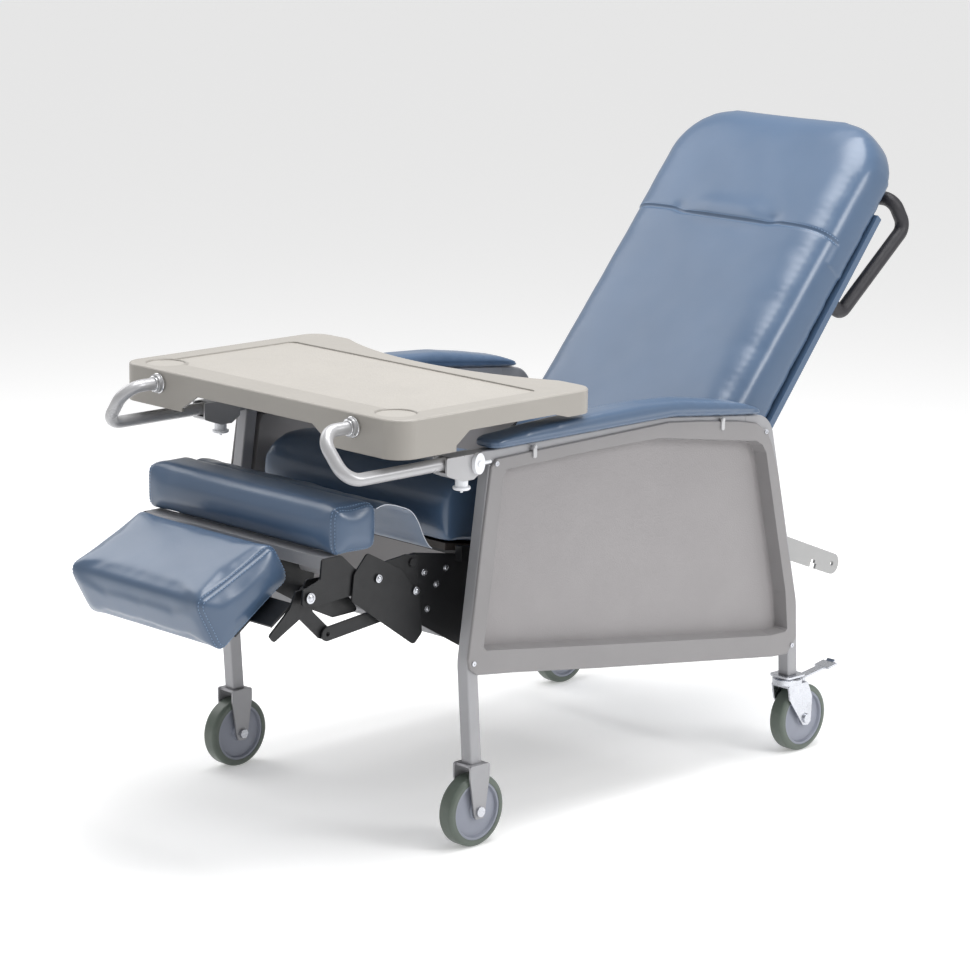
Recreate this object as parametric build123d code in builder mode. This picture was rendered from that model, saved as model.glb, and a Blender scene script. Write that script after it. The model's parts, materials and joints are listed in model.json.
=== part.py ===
"""Patient recliner chair on casters, with an over-lap tray and a folding leg rest.

Millimetres. The origin is on the floor, midway between the chair's ends.
+Z is up, the chair faces -Y, and +X is the occupant's left.
Outlines in the side view are (y, z) points.
"""
import os
from math import cos, radians, sin

from build123d import *

os.makedirs("parts", exist_ok=True)

# ---- driving dimensions -------------------------------------------------
tube = 25.4                 # square frame tube, 1 inch
tube_wall = 1.5
tube_corner = 3.0
side_x = 312.5              # centre plane of each side frame
clear = 0.3                 # gap between neighbours that only touch
running = 0.05              # radial clearance of a pin in its bore

wheel_r = 63.5              # 5 inch wheel
wheel_width = 32.0
tyre_depth = 12.0
axle_r = 5.0
front_axle_y = -363.0
caster_y = 454.0            # swivel axis
caster_trail = 32.0
leg_bottom = 152.0

rail_z = 675.3
rail_front_y = -432.0
knee_y, knee_z = -376.5, 325.0          # bend of the front leg
leg_top_y = -329.0
rail_bend_y, rail_bend_z = 95.0, rail_z
rail_end_y, rail_end_z = 300.0, 652.0
corner_y, corner_z = 360.0, 644.0       # rear top corner
hock_y, hock_z = 446.0, 292.0           # bend of the rear leg

panel_proud = 5.0
panel_sheet = 3.0
panel_depth = 27.0

seat_half = 248.0
back_half = 262.0
back_hinge_y, back_hinge_z = 278.0, 520.0
back_tilt = 49.5            # recline of the back above the floor, in degrees
back_length = 812.0
back_thick_low, back_thick_high = 128.0, 108.0

fold_y, fold_z = -434.0, 494.0          # leg rest pivot on the frame
foot_y, foot_z = -662.0, 470.0          # foot pad pivot on the leg arms
link_y, link_z = -452.0, 415.0          # link pivot on the frame
link_end_y, link_end_z = -612.0, 398.0
pivot_r = 4.0
plate = 4.0
base_x, arm_x, guard_x = 226.0, 231.5, 237.0
link_x, bracket_x, inner_guard_x = 220.5, 214.5, 208.5
guard_sheet = 3.0

tray_half = 360.0
tray_front, tray_rear = -582.0, -122.0
tray_top_z = 772.0
tray_tube_r = 11.0
tray_grip_x = 252.0         # where a tube enters the tray's front edge
tray_grip_z = 748.0
tray_tube_z = 675.3
tray_reach_y = -657.0       # foremost point of the tray tubes


# ---- helpers ------------------------------------------------------------
def save(block, label):
    """Label a finished block and write its STEP file."""
    block.part.label = label
    export_step(block.part, f"parts/{label}.step")


def save_pair(block, label):
    """Write a left-hand piece and its mirrored right-hand twin."""
    with BuildPart() as twin:
        mirror(block.part, about=Plane.YZ)
    save(block, f"{label}_left")
    save(twin, f"{label}_right")


def save_both(block, label):
    """Write a left-hand piece and its mirror image as one node."""
    with BuildPart() as pair:
        add(block.part)
        mirror(block.part, about=Plane.YZ)
    save(pair, label)


def slab(outline, x_low, x_high, radius=0.0, mode=Mode.ADD):
    """Extrude a closed side-view outline from x_low to x_high."""
    with BuildSketch(Plane.YZ.offset(x_low)) as profile:
        with BuildLine():
            Polyline(*outline, close=True)
        make_face()
        if radius:
            fillet(profile.vertices(), radius)
    extrude(profile.sketch, amount=x_high - x_low, mode=mode)


def rod(y, z, x_low, x_high, radius, mode=Mode.ADD):
    """Add or cut a round bar along X."""
    with BuildSketch(Plane.YZ.offset(x_low)) as disc:
        with Locations((y, z)):
            Circle(radius)
    extrude(disc.sketch, amount=x_high - x_low, mode=mode)


def post(x, y, z_low, z_high, radius, mode=Mode.ADD):
    """Add or cut a round bar along Z."""
    with BuildSketch(Plane.XY.offset(z_low)) as disc:
        with Locations((x, y)):
            Circle(radius)
    extrude(disc.sketch, amount=z_high - z_low, mode=mode)


def square_tube(points, radii, hollow=True, mode=Mode.ADD):
    """Sweep the frame tube along side-view points at the side plane."""
    with BuildLine() as route:
        if radii:
            FilletPolyline(*[(side_x, y, z) for y, z in points], radius=radii)
        else:
            Line(*[(side_x, y, z) for y, z in points])
    start = Plane(origin=route.line @ 0, x_dir=(1, 0, 0), z_dir=route.line % 0)
    with BuildSketch(start) as section:
        RectangleRounded(tube, tube, tube_corner)
        if hollow:
            inner = tube - 2 * tube_wall
            RectangleRounded(inner, inner, tube_corner - tube_wall, mode=Mode.SUBTRACT)
    sweep(section.sketch, path=route.line, mode=mode)


def trim_below(y, height):
    """Cut a leg off level at a height."""
    with Locations((side_x, y, height - tube)):
        Box(2 * tube, 3 * tube, 2 * tube, mode=Mode.SUBTRACT)


def turned(y, z, angle):
    """Turn a side-view vector about X by an angle in degrees."""
    c, s = cos(radians(angle)), sin(radians(angle))
    return (y * c - z * s, y * s + z * c)


# ---- side frames --------------------------------------------------------
front_leg_bottom = leg_bottom - 5.0
front_leg_route = [(front_axle_y, front_leg_bottom - 3), (knee_y, knee_z), (leg_top_y, 668.0)]
front_leg_radii = [90.0]
rear_leg_route = [(rail_end_y, rail_end_z), (corner_y, corner_z), (hock_y, hock_z), (caster_y, leg_bottom - 3)]
rear_leg_radii = [38.0, 90.0]
rail_route = [(rail_front_y, rail_z), (rail_bend_y, rail_bend_z), (rail_end_y - clear, rail_end_z)]
rail_radii = [300.0]


def front_leg():
    """Front leg, bent at the knee and coped under the arm rail."""
    with BuildPart() as leg:
        square_tube(front_leg_route, front_leg_radii)
        top_cut = rail_z - tube / 2
        with Locations((side_x, leg_top_y, top_cut + 25)):
            Box(60, 80, 50, mode=Mode.SUBTRACT)
        trim_below(front_axle_y, front_leg_bottom)
    save_pair(leg, "front_leg")


def arm_rail():
    """Top rail; the tray tube telescopes inside it."""
    with BuildPart() as rail:
        square_tube(rail_route, rail_radii)
    save_pair(rail, "arm_rail")


def rear_leg():
    """Rear leg with the rounded top corner."""
    with BuildPart() as leg:
        square_tube(rear_leg_route, rear_leg_radii)
        trim_below(caster_y, leg_bottom)
    save_pair(leg, "rear_leg")


lower_rail_front_z, lower_rail_rear_z = 316.0, 214.0


def lower_rail_at(y):
    """Height of the lower rail's centre line at y."""
    share = (y - knee_y) / (hock_y - knee_y)
    return lower_rail_front_z + share * (lower_rail_rear_z - lower_rail_front_z)


cope_gap = 3.6              # the rail's square ends stand off the leaning legs


def lower_rails():
    """Lower side rails between the legs, behind the panels' bottom edges."""
    start = knee_y + tube / 2 + cope_gap
    share = (hock_z - lower_rail_rear_z) / (hock_z - leg_bottom)
    end = hock_y + share * (caster_y - hock_y) - tube / 2 - cope_gap
    with BuildPart() as rail:
        square_tube([(start, lower_rail_at(start)), (end, lower_rail_at(end))], None)
    save_both(rail, "lower_rails")


cross_y = -272.0
cross_heights = (328.0, 380.0)
rear_cross_y = 290.0
cross_r = 11.0


def cross_tubes():
    """Cross tubes between the side frames, with end plates on the lower rails."""
    inner_face = side_x - tube / 2
    rear_z = lower_rail_at(rear_cross_y) + 30
    with BuildPart() as tubes:
        for y, z in [(cross_y, z) for z in cross_heights] + [(rear_cross_y, rear_z)]:
            rod(y, z, -inner_face + 5, inner_face - 5, cross_r)
            rod(y, z, -inner_face + 5, inner_face - 5, cross_r - 2, mode=Mode.SUBTRACT)
        for y, top in ((cross_y, max(cross_heights)), (rear_cross_y, rear_z)):
            low = lower_rail_at(y) - tube / 2
            outline = [(y - 16, low), (y + 16, low), (y + 16, top + 16), (y - 16, top + 16)]
            slab(outline, inner_face - 5, inner_face - clear, 5.0)
            slab(outline, -inner_face + clear, -inner_face + 5, 5.0)
    save(tubes, "cross_tubes")


# ---- front wheels -------------------------------------------------------
def wheel(y, label):
    """Tyre and hub of one wheel, turned about its axle."""
    groove_r = wheel_r - tyre_depth
    half = wheel_width / 2
    bore = axle_r + running
    with BuildPart() as tyre:
        with BuildSketch(Plane.XY) as section:
            with Locations((0, (wheel_r + groove_r) / 2)):
                Rectangle(wheel_width, tyre_depth)
            fillet(section.vertices().group_by(Axis.Y)[-1], 7.0)
        revolve(axis=Axis.X)
    with BuildPart() as hub:
        with BuildSketch(Plane.XY):
            with BuildLine():
                Polyline(
                    (-half, bore), (half, bore), (half, 14), (half - 4, 16), (half - 6, groove_r - 6),
                    (half - 1, groove_r - 4), (half - 1, groove_r), (1 - half, groove_r),
                    (1 - half, groove_r - 4), (6 - half, groove_r - 6), (4 - half, 16), (-half, 14),
                    close=True,
                )
            make_face()
        revolve(axis=Axis.X)
    for block, part_name in ((tyre, "tyre"), (hub, "hub")):
        for hand, x in (("left", side_x), ("right", -side_x)):
            with BuildPart() as placed:
                add(block.part.moved(Location((x, y, wheel_r))))
            save(placed, f"{label}_{part_name}_{hand}")


fork_gap = wheel_width / 2 + 2.0
fork_sheet = 3.5


def front_fork():
    """Rigid fork under the front leg: a crown plate and two tapering cheeks."""
    top = front_leg_bottom - clear
    crown = 5.0
    cheek = [
        (front_axle_y - 23, top), (front_axle_y + 23, top), (front_axle_y + 23, top - 22),
        (front_axle_y + 13, wheel_r), (front_axle_y + 9, wheel_r - 13), (front_axle_y - 9, wheel_r - 13),
        (front_axle_y - 13, wheel_r), (front_axle_y - 23, top - 22),
    ]
    with BuildPart() as fork:
        for low in (side_x - fork_gap - fork_sheet, side_x + fork_gap):
            slab(cheek, low, low + fork_sheet, 4.0)
            rod(front_axle_y, wheel_r, low, low + fork_sheet, axle_r + running, mode=Mode.SUBTRACT)
        with Locations((side_x, front_axle_y, top - crown / 2)):
            Box(2 * (fork_gap + fork_sheet), 38, crown)
    save_pair(fork, "front_fork")


def axle(y):
    """Axle bolt with a domed head outside and a nut inside."""
    outside = side_x + fork_gap + fork_sheet + clear
    inside = side_x - fork_gap - fork_sheet - clear
    rod(y, wheel_r, inside - 6, outside + 4, axle_r)
    rod(y, wheel_r, outside, outside + 4, 9.0)
    with BuildSketch(Plane.YZ.offset(inside - 6)) as nut:
        with Locations((y, wheel_r)):
            RegularPolygon(9.0, 6)
    extrude(nut.sketch, amount=6)


def front_axles():
    """Both front axle bolts."""
    with BuildPart() as bolt:
        axle(front_axle_y)
    save_both(bolt, "front_axles")


# ---- rear casters -------------------------------------------------------
caster_wheel_y = caster_y + caster_trail
crown_z = 129.0
head_r = 28.0


def caster_heads():
    """Top plates and stems, fixed in the rear legs."""
    with BuildPart() as head:
        with BuildSketch(Plane.XY.offset(leg_bottom - 4 - clear)):
            with Locations((side_x, caster_y)):
                RectangleRounded(50, 50, 8)
        extrude(amount=4)
        post(side_x, caster_y, 146.0, leg_bottom - 4, 12.0)
        post(side_x, caster_y, crown_z - 0.5, 146.0, 6.0)
    save_both(head, "caster_heads")


def caster_fork():
    """Swivelling fork: bearing head, crown, two raked cheeks and the axle."""
    cheek = [
        (caster_y - 20, crown_z + 5), (caster_y + 34, crown_z + 5), (caster_wheel_y + 16, 104.0),
        (caster_wheel_y + 14, wheel_r - 8), (caster_wheel_y + 6, wheel_r - 14),
        (caster_wheel_y - 8, wheel_r - 12), (caster_y - 14, 104.0),
    ]
    with BuildPart() as fork:
        for low in (side_x - fork_gap - fork_sheet, side_x + fork_gap):
            slab(cheek, low, low + fork_sheet, 3.0)
        with BuildSketch(Plane.XY.offset(crown_z)):
            with Locations((side_x, caster_y + 7)):
                RectangleRounded(2 * (fork_gap + fork_sheet), 54, 6)
        extrude(amount=5)
        post(side_x, caster_y, crown_z + 5, 145.5, head_r)
        chamfer(fork.faces().sort_by(Axis.Z)[-1].edges(), 2.0)
        post(side_x, caster_y, crown_z - 1, 146.0, 6.0 + running, mode=Mode.SUBTRACT)
        axle(caster_wheel_y)
        for low in (side_x - 14, side_x + 11):
            slab([(caster_wheel_y + 4, crown_z + 1), (caster_wheel_y + 4, crown_z + 12),
                  (caster_y + 28, crown_z + 12), (caster_y + 28, crown_z + 4)], low, low + 3)
    save_pair(fork, "caster_fork")


pedal_y, pedal_z = caster_wheel_y - 1.0, crown_z + 8.5


def brake_pedal():
    """Foot brake pedal, hinged on a pin between the fork's ears."""
    with BuildPart() as pedal:
        rod(pedal_y, pedal_z, side_x - 10.5, side_x + 10.5, 2.6)
        slab([(pedal_y, pedal_z - 1.5), (578.0, 148.0), (582.0, 156.0), (579.0, 157.5),
              (574.0, 151.5), (pedal_y, pedal_z + 1.8)], side_x - 9, side_x + 9)
        slab([(552.0, 145.0), (577.0, 149.5), (576.0, 153.0), (551.0, 148.5)], side_x - 17, side_x + 17)
    save_pair(pedal, "brake_pedal")


# ---- side panels --------------------------------------------------------
panel_outline = [
    (-341, 660), (-329, 672), (-228, 674), (95, 679), (173, 671), (280, 657), (327, 647), (358, 626),
    (372, 600), (392, 542), (416, 435), (441, 336), (451, 297), (455, 223), (431, 197), (390, 199),
    (-70, 262), (-315, 298), (-370, 305), (-386, 317), (-390, 335), (-375, 433), (-360, 540),
]
recess_outline = [
    (-309, 655), (-81, 659), (70, 658), (174, 642), (328, 618), (346, 608), (358, 591), (372, 533),
    (397, 430), (424, 319), (433, 244), (425, 237), (381, 237), (-71, 300), (-350, 340), (-359, 350),
    (-346, 433), (-332, 535), (-318, 636),
]


def side_panel():
    """Moulded panel: a flange over the tubes and a drafted recess between them."""
    outer_face = side_x + tube / 2 + panel_proud
    with BuildPart() as panel:
        slab(panel_outline, outer_face - panel_proud + clear, outer_face)
        flange_edges = panel.faces().sort_by(Axis.X)[-1].edges()
        chamfer(flange_edges, 1.5)
        with BuildSketch(Plane.YZ.offset(outer_face)):
            with BuildLine():
                Polyline(*recess_outline, close=True)
            make_face()
            offset(amount=-1.0, mode=Mode.REPLACE)
        extrude(amount=-(panel_depth + panel_sheet), taper=10.0)
        with BuildSketch(Plane.YZ.offset(outer_face)):
            with BuildLine():
                Polyline(*recess_outline, close=True)
            make_face()
            offset(amount=-1.0 - panel_sheet, mode=Mode.REPLACE)
        extrude(amount=-panel_depth, taper=10.0, mode=Mode.SUBTRACT)
    save_pair(panel, "side_panel")


def panel_screws():
    """Screws that hold the panels to the rear legs and the front legs."""
    outer_face = side_x + tube / 2 + panel_proud
    with BuildPart() as screws:
        for y, z in ((442.0, 212.0), (-378.0, 326.0), (352.0, 628.0), (-330.0, 664.0)):
            rod(y, z, outer_face + 0.05, outer_face + 2.0, 4.5)
            rod(y, z, outer_face + 1.2, outer_face + 2.0, 2.0, mode=Mode.SUBTRACT)
    save_both(screws, "panel_screws")


clip_places = ((-242.0, 681.0), (232.0, 666.0))
clip_thick = 3.0
clip_half = 4.0
clip_pin_r = 1.5


def turn_clips():
    """Turn clips on the rails that hold the panels' top edges."""
    outer_face = side_x + tube / 2 + panel_proud
    for place, (y, z) in zip(("front", "rear"), clip_places):
        with BuildPart() as clip:
            slab([(y - clip_half, z - 19), (y + clip_half, z - 19), (y + clip_half, z + 4), (y - clip_half, z + 4)],
                 outer_face + clear, outer_face + clear + clip_thick, 3.5)
            rod(y, z, side_x + tube / 2 + clear, outer_face + clear + clip_thick, clip_pin_r)
            rod(y, z, outer_face + clear + clip_thick, outer_face + clear + clip_thick + 1.5, 3.2)
        save_pair(clip, f"panel_clip_{place}")


# ---- arm pads -----------------------------------------------------------
arm_pad_half = 33.0
rail_top = tube / 2 + 0.1
arm_pad_line = [(-351, rail_z + rail_top), (rail_bend_y, rail_z + rail_top),
                (rail_end_y, rail_end_z + rail_top), (340, rail_end_z + rail_top - 4)]


def arm_pad():
    """Padded arm rest that follows the rail."""
    with BuildPart() as pad:
        lower = [(y, z + clear) for y, z in arm_pad_line]
        upper = [(-349, 703), (-224, 714), (-78, 719), (22, 720), (125, 714), (204, 702), (285, 687), (338, 669)]
        slab(lower + upper[::-1], side_x - arm_pad_half, side_x + arm_pad_half)
    save_pair(pad, "arm_pad")


# ---- seat ---------------------------------------------------------------
seat_slope = -9.5                       # fall of the seat towards the back, in degrees
seat_front, seat_back = -384.0, 224.0
seat_thick = 118.0
seat_under_z = 517.0                    # underside at the front
deck_thick = 12.0
deck_half = 222.0
seat_cross_places = (-215.0, 170.0)
seat_cross_width = 30.0


def seat_under(y):
    """Height of the seat cushion's underside at y."""
    return seat_under_z + (y - seat_front) * sin(radians(seat_slope)) / cos(radians(seat_slope))


def seat_band(y_front, y_back, low, high):
    """Side-view outline that runs under the seat, low to high below its underside."""
    return [
        (y_front, seat_under(y_front) - low), (y_back, seat_under(y_back) - low),
        (y_back, seat_under(y_back) - high), (y_front, seat_under(y_front) - high),
    ]


def seat_cushion():
    """Foam seat with a rounded waterfall front."""
    with BuildPart() as cushion:
        outline = [
            (seat_front + 10, seat_under(seat_front + 10)), (seat_back, seat_under(seat_back)),
            (seat_back, seat_under(seat_back) + seat_thick - 14),
            (seat_front + 110, seat_under(seat_front) + seat_thick + 4),
            (seat_front + 50, seat_under(seat_front) + seat_thick),
            (seat_front, seat_under(seat_front) + 70),
        ]
        slab(outline, -seat_half, seat_half, 10.0)
        fillet(cushion.faces().sort_by(Axis.X)[0].edges(), 8.0)
        fillet(cushion.faces().sort_by(Axis.X)[-1].edges(), 8.0)
    save(cushion, "seat_cushion")


def seat_deck():
    """Plywood deck under the cushion."""
    with BuildPart() as deck:
        slab(seat_band(seat_front + 40, seat_back - 10, deck_thick + clear, clear), -deck_half, deck_half)
    save(deck, "seat_deck")


def seat_frame():
    """Two seat rails joined by cross bars under the deck."""
    rail_low_x, rail_high_x = 243.0, 258.0
    with BuildPart() as frame:
        for low in (rail_low_x, -rail_high_x):
            slab(seat_band(seat_front + 44, 262.0, clear + 26, clear), low, low + rail_high_x - rail_low_x)
        for y in seat_cross_places:
            z = seat_under(y) - deck_thick - clear - 13
            with Locations((0, y, z)):
                Box(2 * rail_low_x, seat_cross_width, 20)
    save(frame, "seat_frame")


def mech_plates():
    """Base plates of the leg rest linkage, with its fixed pivots."""
    low_tube, high_tube = cross_heights
    back_edge = seat_cross_places[0] - seat_cross_width / 2 - clear
    with BuildPart() as base:
        outline = [
            (fold_y - 13, fold_z - 16), (fold_y - 8, fold_z + 11), (fold_y + 12, fold_z + 13),
            (back_edge, seat_under(back_edge) - deck_thick - 5),
            (cross_y + 30, high_tube), (cross_y + 18, low_tube - 16), (cross_y - 18, low_tube - 16),
            (link_y + 8, link_z - 14), (link_y - 12, link_z - 8), (link_y - 12, link_z + 12),
        ]
        slab(outline, base_x, base_x + plate, 4.0)
        for z in cross_heights:
            rod(cross_y, z, base_x - 1, base_x + plate + 1, cross_r + running, mode=Mode.SUBTRACT)
        rod(fold_y, fold_z, base_x, arm_x + plate + 0.5, pivot_r)
        rod(fold_y, fold_z, arm_x + plate + 0.5, arm_x + plate + 3.5, pivot_r + 3)
        rod(link_y, link_z, link_x - 0.5, base_x, pivot_r)
        rod(link_y, link_z, link_x - 3.0, link_x - 0.5, pivot_r + 3)
    save_both(base, "mech_plates")


support_x = 276.0
hinge_head = 7.0
hinge_r = 5.0


def rear_supports():
    """Uprights from the rear cross tube to the back hinge, with the hinge pins."""
    tube_z = lower_rail_at(rear_cross_y) + 30
    with BuildPart() as support:
        outline = [
            (back_hinge_y - 14, back_hinge_z + 12), (back_hinge_y + 14, back_hinge_z + 12),
            (back_hinge_y + 30, back_hinge_z - 40), (rear_cross_y + 22, tube_z + 20),
            (rear_cross_y + 18, tube_z - 18), (rear_cross_y - 18, tube_z - 18),
            (rear_cross_y - 40, tube_z + 40), (back_hinge_y - 26, back_hinge_z - 90),
            (back_hinge_y + 4, back_hinge_z - 65), (back_hinge_y + 2, back_hinge_z - 38),
            (back_hinge_y - 16, back_hinge_z - 10),
        ]
        slab(outline, support_x, support_x + plate, 6.0)
        rod(rear_cross_y, tube_z, support_x - 1, support_x + plate + 1, cross_r + running, mode=Mode.SUBTRACT)
        rod(back_hinge_y, back_hinge_z, ear_x - 3.0, support_x, hinge_r)
        rod(back_hinge_y, back_hinge_z, ear_x - 3.0, ear_x - 0.5, hinge_r + 3)
        slab(seat_band(170.0, 285.0, 24, 4), 258.0 + clear, support_x)
    save_both(support, "rear_supports")


# ---- back ---------------------------------------------------------------
ear_x = 270.0
ear_sheet = 4.0
bar_slope = -21.0
bar_x = 285.0
bar_sheet = 5.0
bar_pivot_y, bar_pivot_z = 244.0, 470.5
bar_end_y, bar_end_z = 598.0, 335.0
bar_half = 19.5


hinge_depth = 44.0          # of the back's hinge behind its front face
board_thick = 14.0
board_top = 650.0


def along_back(distance, depth):
    """Side-view point up the back from the hinge, depth behind its front face."""
    y, z = turned(distance, hinge_depth - depth, back_tilt)
    return (back_hinge_y + y, back_hinge_z + z)


def back_rear(distance):
    """Depth of the cushion's rear face, which tapers towards the head."""
    return back_thick_low - (distance + 20) * (back_thick_low - back_thick_high) / back_length


def back_cushion():
    """Foam back; its low end rounds the hinge and its top corners are broad curves."""
    with BuildPart() as cushion:
        outline = [
            along_back(-50, 30), along_back(-20, 0.5), along_back(back_length - 60, 0.5),
            along_back(back_length - 10, 36), along_back(back_length, 70),
            along_back(back_length - 30, back_rear(back_length - 30) - board_thick),
            along_back(-20, back_rear(-20) - board_thick), along_back(-50, back_rear(-50) - 34),
        ]
        slab(outline, -back_half, back_half, 14.0)
        fillet(cushion.faces().sort_by(Axis.X)[0].edges(), 12.0)
        fillet(cushion.faces().sort_by(Axis.X)[-1].edges(), 12.0)
        corner_plane = Plane(
            origin=(0, *along_back(back_length - 130, 200)), x_dir=(1, 0, 0),
            z_dir=(0, *turned(0, 1, back_tilt)),
        )
        for hand in (1, -1):
            with BuildSketch(corner_plane):
                with BuildLine():
                    start = (hand * (back_half + 5), -5)
                    Polyline(start, (hand * (back_half + 5), 160), (hand * (back_half - 135), 160),
                             (hand * (back_half - 135), 130))
                    ThreePointArc((hand * (back_half - 135), 130),
                                  (hand * (back_half - 38), 92), start)
                make_face()
            extrude(amount=320, mode=Mode.SUBTRACT)
    save(cushion, "back_cushion")


def back_board():
    """Upholstered board that closes the rear of the back."""
    with BuildPart() as board:
        outline = []
        for distance, inset in ((20, clear - board_thick), (board_top, clear - board_thick),
                                (board_top, 0.0), (20, 0.0)):
            outline.append(along_back(distance, back_rear(distance) + inset))
        slab(outline, 8 - back_half, back_half - 8)
    save(board, "back_board")


strap_low, strap_high = 110.0, 150.0


def back_frame():
    """Steel hinge ears, carried up the sides of the back, and the levers of the recline bars."""
    with BuildPart() as ear:
        outline = [
            (bar_pivot_y - 12, bar_pivot_z - 6), (bar_pivot_y - 8, bar_pivot_z + 14),
            (back_hinge_y - 18, back_hinge_z), (back_hinge_y - 8, back_hinge_z + 16),
            along_back(strap_high, 84), along_back(strap_high + 10, 92),
            along_back(strap_high + 10, 112), along_back(40, 122),
            (back_hinge_y + 18, back_hinge_z - 6), (bar_pivot_y + 14, bar_pivot_z - 8),
            (bar_pivot_y + 2, bar_pivot_z - 13),
        ]
        slab(outline, ear_x, ear_x + ear_sheet, 4.0)
        rod(back_hinge_y, back_hinge_z, ear_x - 1, ear_x + ear_sheet + 1, hinge_r + running,
            mode=Mode.SUBTRACT)
        rod(bar_pivot_y, bar_pivot_z, ear_x + ear_sheet, bar_x + bar_sheet + 0.5, pivot_r)
        rod(bar_pivot_y, bar_pivot_z, bar_x + bar_sheet + 0.5, bar_x + bar_sheet + 3, pivot_r + 3)
        strap = []
        for distance, rise in ((strap_low, clear), (strap_high, clear),
                               (strap_high, clear + 4), (strap_low, clear + 4)):
            strap.append(along_back(distance, back_rear(distance) + rise))
        slab(strap, 0, ear_x + ear_sheet)
        wing = [along_back(strap_low, 96), along_back(strap_high, 96)] + strap[2:]
        slab(wing, ear_x, ear_x + ear_sheet)
    save_both(ear, "back_frame")


handle_r = 13.5
handle_x = 240.0


handle_low, handle_low_depth = 458.0, 150.0
handle_high, handle_high_depth = 689.0, 192.0
grip_at, grip_depth = 710.0, 133.0


def push_handle():
    """Padded push handle: two side arms that foot on the board, and a grip behind the head."""
    foot = along_back(handle_low, back_rear(handle_low) + 2 * clear)
    grip = along_back(grip_at, grip_depth)
    with BuildPart() as handle:
        with BuildLine() as route:
            FilletPolyline(
                (handle_x, *foot), (handle_x, *along_back(handle_low, handle_low_depth)),
                (handle_x, *along_back(handle_high, handle_high_depth)), (handle_x - 4, *grip), (0, *grip),
                radius=[18.0, 24.0, 24.0],
            )
        with BuildSketch(Plane(origin=route.line @ 0, x_dir=(1, 0, 0), z_dir=route.line % 0)):
            Circle(handle_r)
        sweep(path=route.line)
        mirror(about=Plane.YZ)
    save(handle, "push_handle")


bar_hole_r = 4.25


def recline_bar():
    """Flat bar that steadies the back; a notch in its lower edge and a hole in its end."""
    drop = radians(bar_slope)
    along = (cos(drop), sin(drop))

    def at(distance, height):
        """Point along the bar from its rear hole."""
        return (bar_end_y + distance * along[0] - height * along[1],
                bar_end_z + distance * along[1] + height * along[0])

    with BuildPart() as bar:
        outline = [
            at(bar_half, -bar_half), at(bar_half, bar_half), (bar_pivot_y + 30, bar_pivot_z + 14),
            (bar_pivot_y - 14, bar_pivot_z + 14), (bar_pivot_y - 14, bar_pivot_z - 14),
            at(-250, -bar_half), at(-62, -bar_half), at(-62, -4), at(-50, -4), at(-50, -10),
            at(-44, -10), at(-44, -bar_half),
        ]
        slab(outline, bar_x, bar_x + bar_sheet)
        ends = bar.edges().filter_by(Axis.X)
        fillet(ends.sort_by(Axis.Y)[-2:], bar_half - 1.0)
        fillet(bar.edges().filter_by(Axis.X).sort_by(Axis.Y)[:2], 12.0)
        rod(bar_end_y, bar_end_z, bar_x - 1, bar_x + bar_sheet + 1, bar_hole_r, mode=Mode.SUBTRACT)
        rod(bar_pivot_y, bar_pivot_z, bar_x - 1, bar_x + bar_sheet + 1, pivot_r + running,
            mode=Mode.SUBTRACT)
    save_pair(bar, "recline_bar")




# ---- leg rest -----------------------------------------------------------
upper_pad_half = 250.0
upper_pad_box = ((-618.0, 532.0), (-522.0, 614.0))
foot_pad_half = 180.0
foot_pad_outline = [(-682, 559), (-852, 480), (-798, 382), (-643, 489)]
crossbar_front, crossbar_rear = -630.0, -596.0
crossbar_low, crossbar_high = 510.0, 531.5


def upper_pad():
    """Calf pad."""
    (y0, z0), (y1, z1) = upper_pad_box
    with BuildPart() as pad:
        slab([(y0, z0), (y1, z0), (y1, z1), (y0, z1)], -upper_pad_half, upper_pad_half, 12.0)
        fillet(pad.faces().sort_by(Axis.X)[0].edges(), 5.0)
        fillet(pad.faces().sort_by(Axis.X)[-1].edges(), 5.0)
    save(pad, "upper_pad")


def foot_pad():
    """Foot pad, tilted down towards the toes."""
    with BuildPart() as pad:
        slab(foot_pad_outline, -foot_pad_half, foot_pad_half, 14.0)
        fillet(pad.faces().sort_by(Axis.X)[0].edges(), 5.0)
        fillet(pad.faces().sort_by(Axis.X)[-1].edges(), 5.0)
    save(pad, "foot_pad")


def leg_arms():
    """Main arms of the leg rest, each with the pin of the foot pad's pivot."""
    with BuildPart() as arm:
        outline = [
            (fold_y + 14, fold_z - 14), (fold_y + 15, fold_z + 10), (fold_y - 12, fold_z + 15),
            (crossbar_rear + 40, fold_z + 4), (crossbar_rear + 4, crossbar_high - 1),
            (crossbar_front - 4, crossbar_high - 1), (crossbar_front - 8, foot_z + 26),
            (foot_y - 13, foot_z + 14), (foot_y - 16, foot_z - 12), (foot_y + 10, foot_z - 16),
            (-502, 462), (-436, 436), (-420, 438),
        ]
        slab(outline, arm_x, arm_x + plate, 5.0)
        rod(fold_y, fold_z, arm_x - 1, arm_x + plate + 1, pivot_r + running, mode=Mode.SUBTRACT)
        rod(foot_y, foot_z, bracket_x - 0.5, arm_x, pivot_r)
        rod(foot_y, foot_z, bracket_x - 3.0, bracket_x - 0.5, pivot_r + 3)
        rod(foot_y, foot_z, arm_x + plate, arm_x + plate + 3, pivot_r + 3)
    save_both(arm, "leg_arms")


guard_bolts = ((-515.0, 480.0), (-430.0, 445.0))


def guard_plates():
    """Outer guards that cover the arms, with their spacer bolts."""
    with BuildPart() as guard:
        outline = [(-538, 527), (-460, 486), (-419, 432), (-413, 369), (-432, 351), (-573, 450), (-568, 495)]
        slab(outline, guard_x, guard_x + guard_sheet, 8.0)
        for y, z in guard_bolts:
            rod(y, z, arm_x + plate, guard_x, 5.0)
            rod(y, z, guard_x + guard_sheet, guard_x + guard_sheet + 3, 5.5)
    save_both(guard, "guard_plates")


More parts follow.
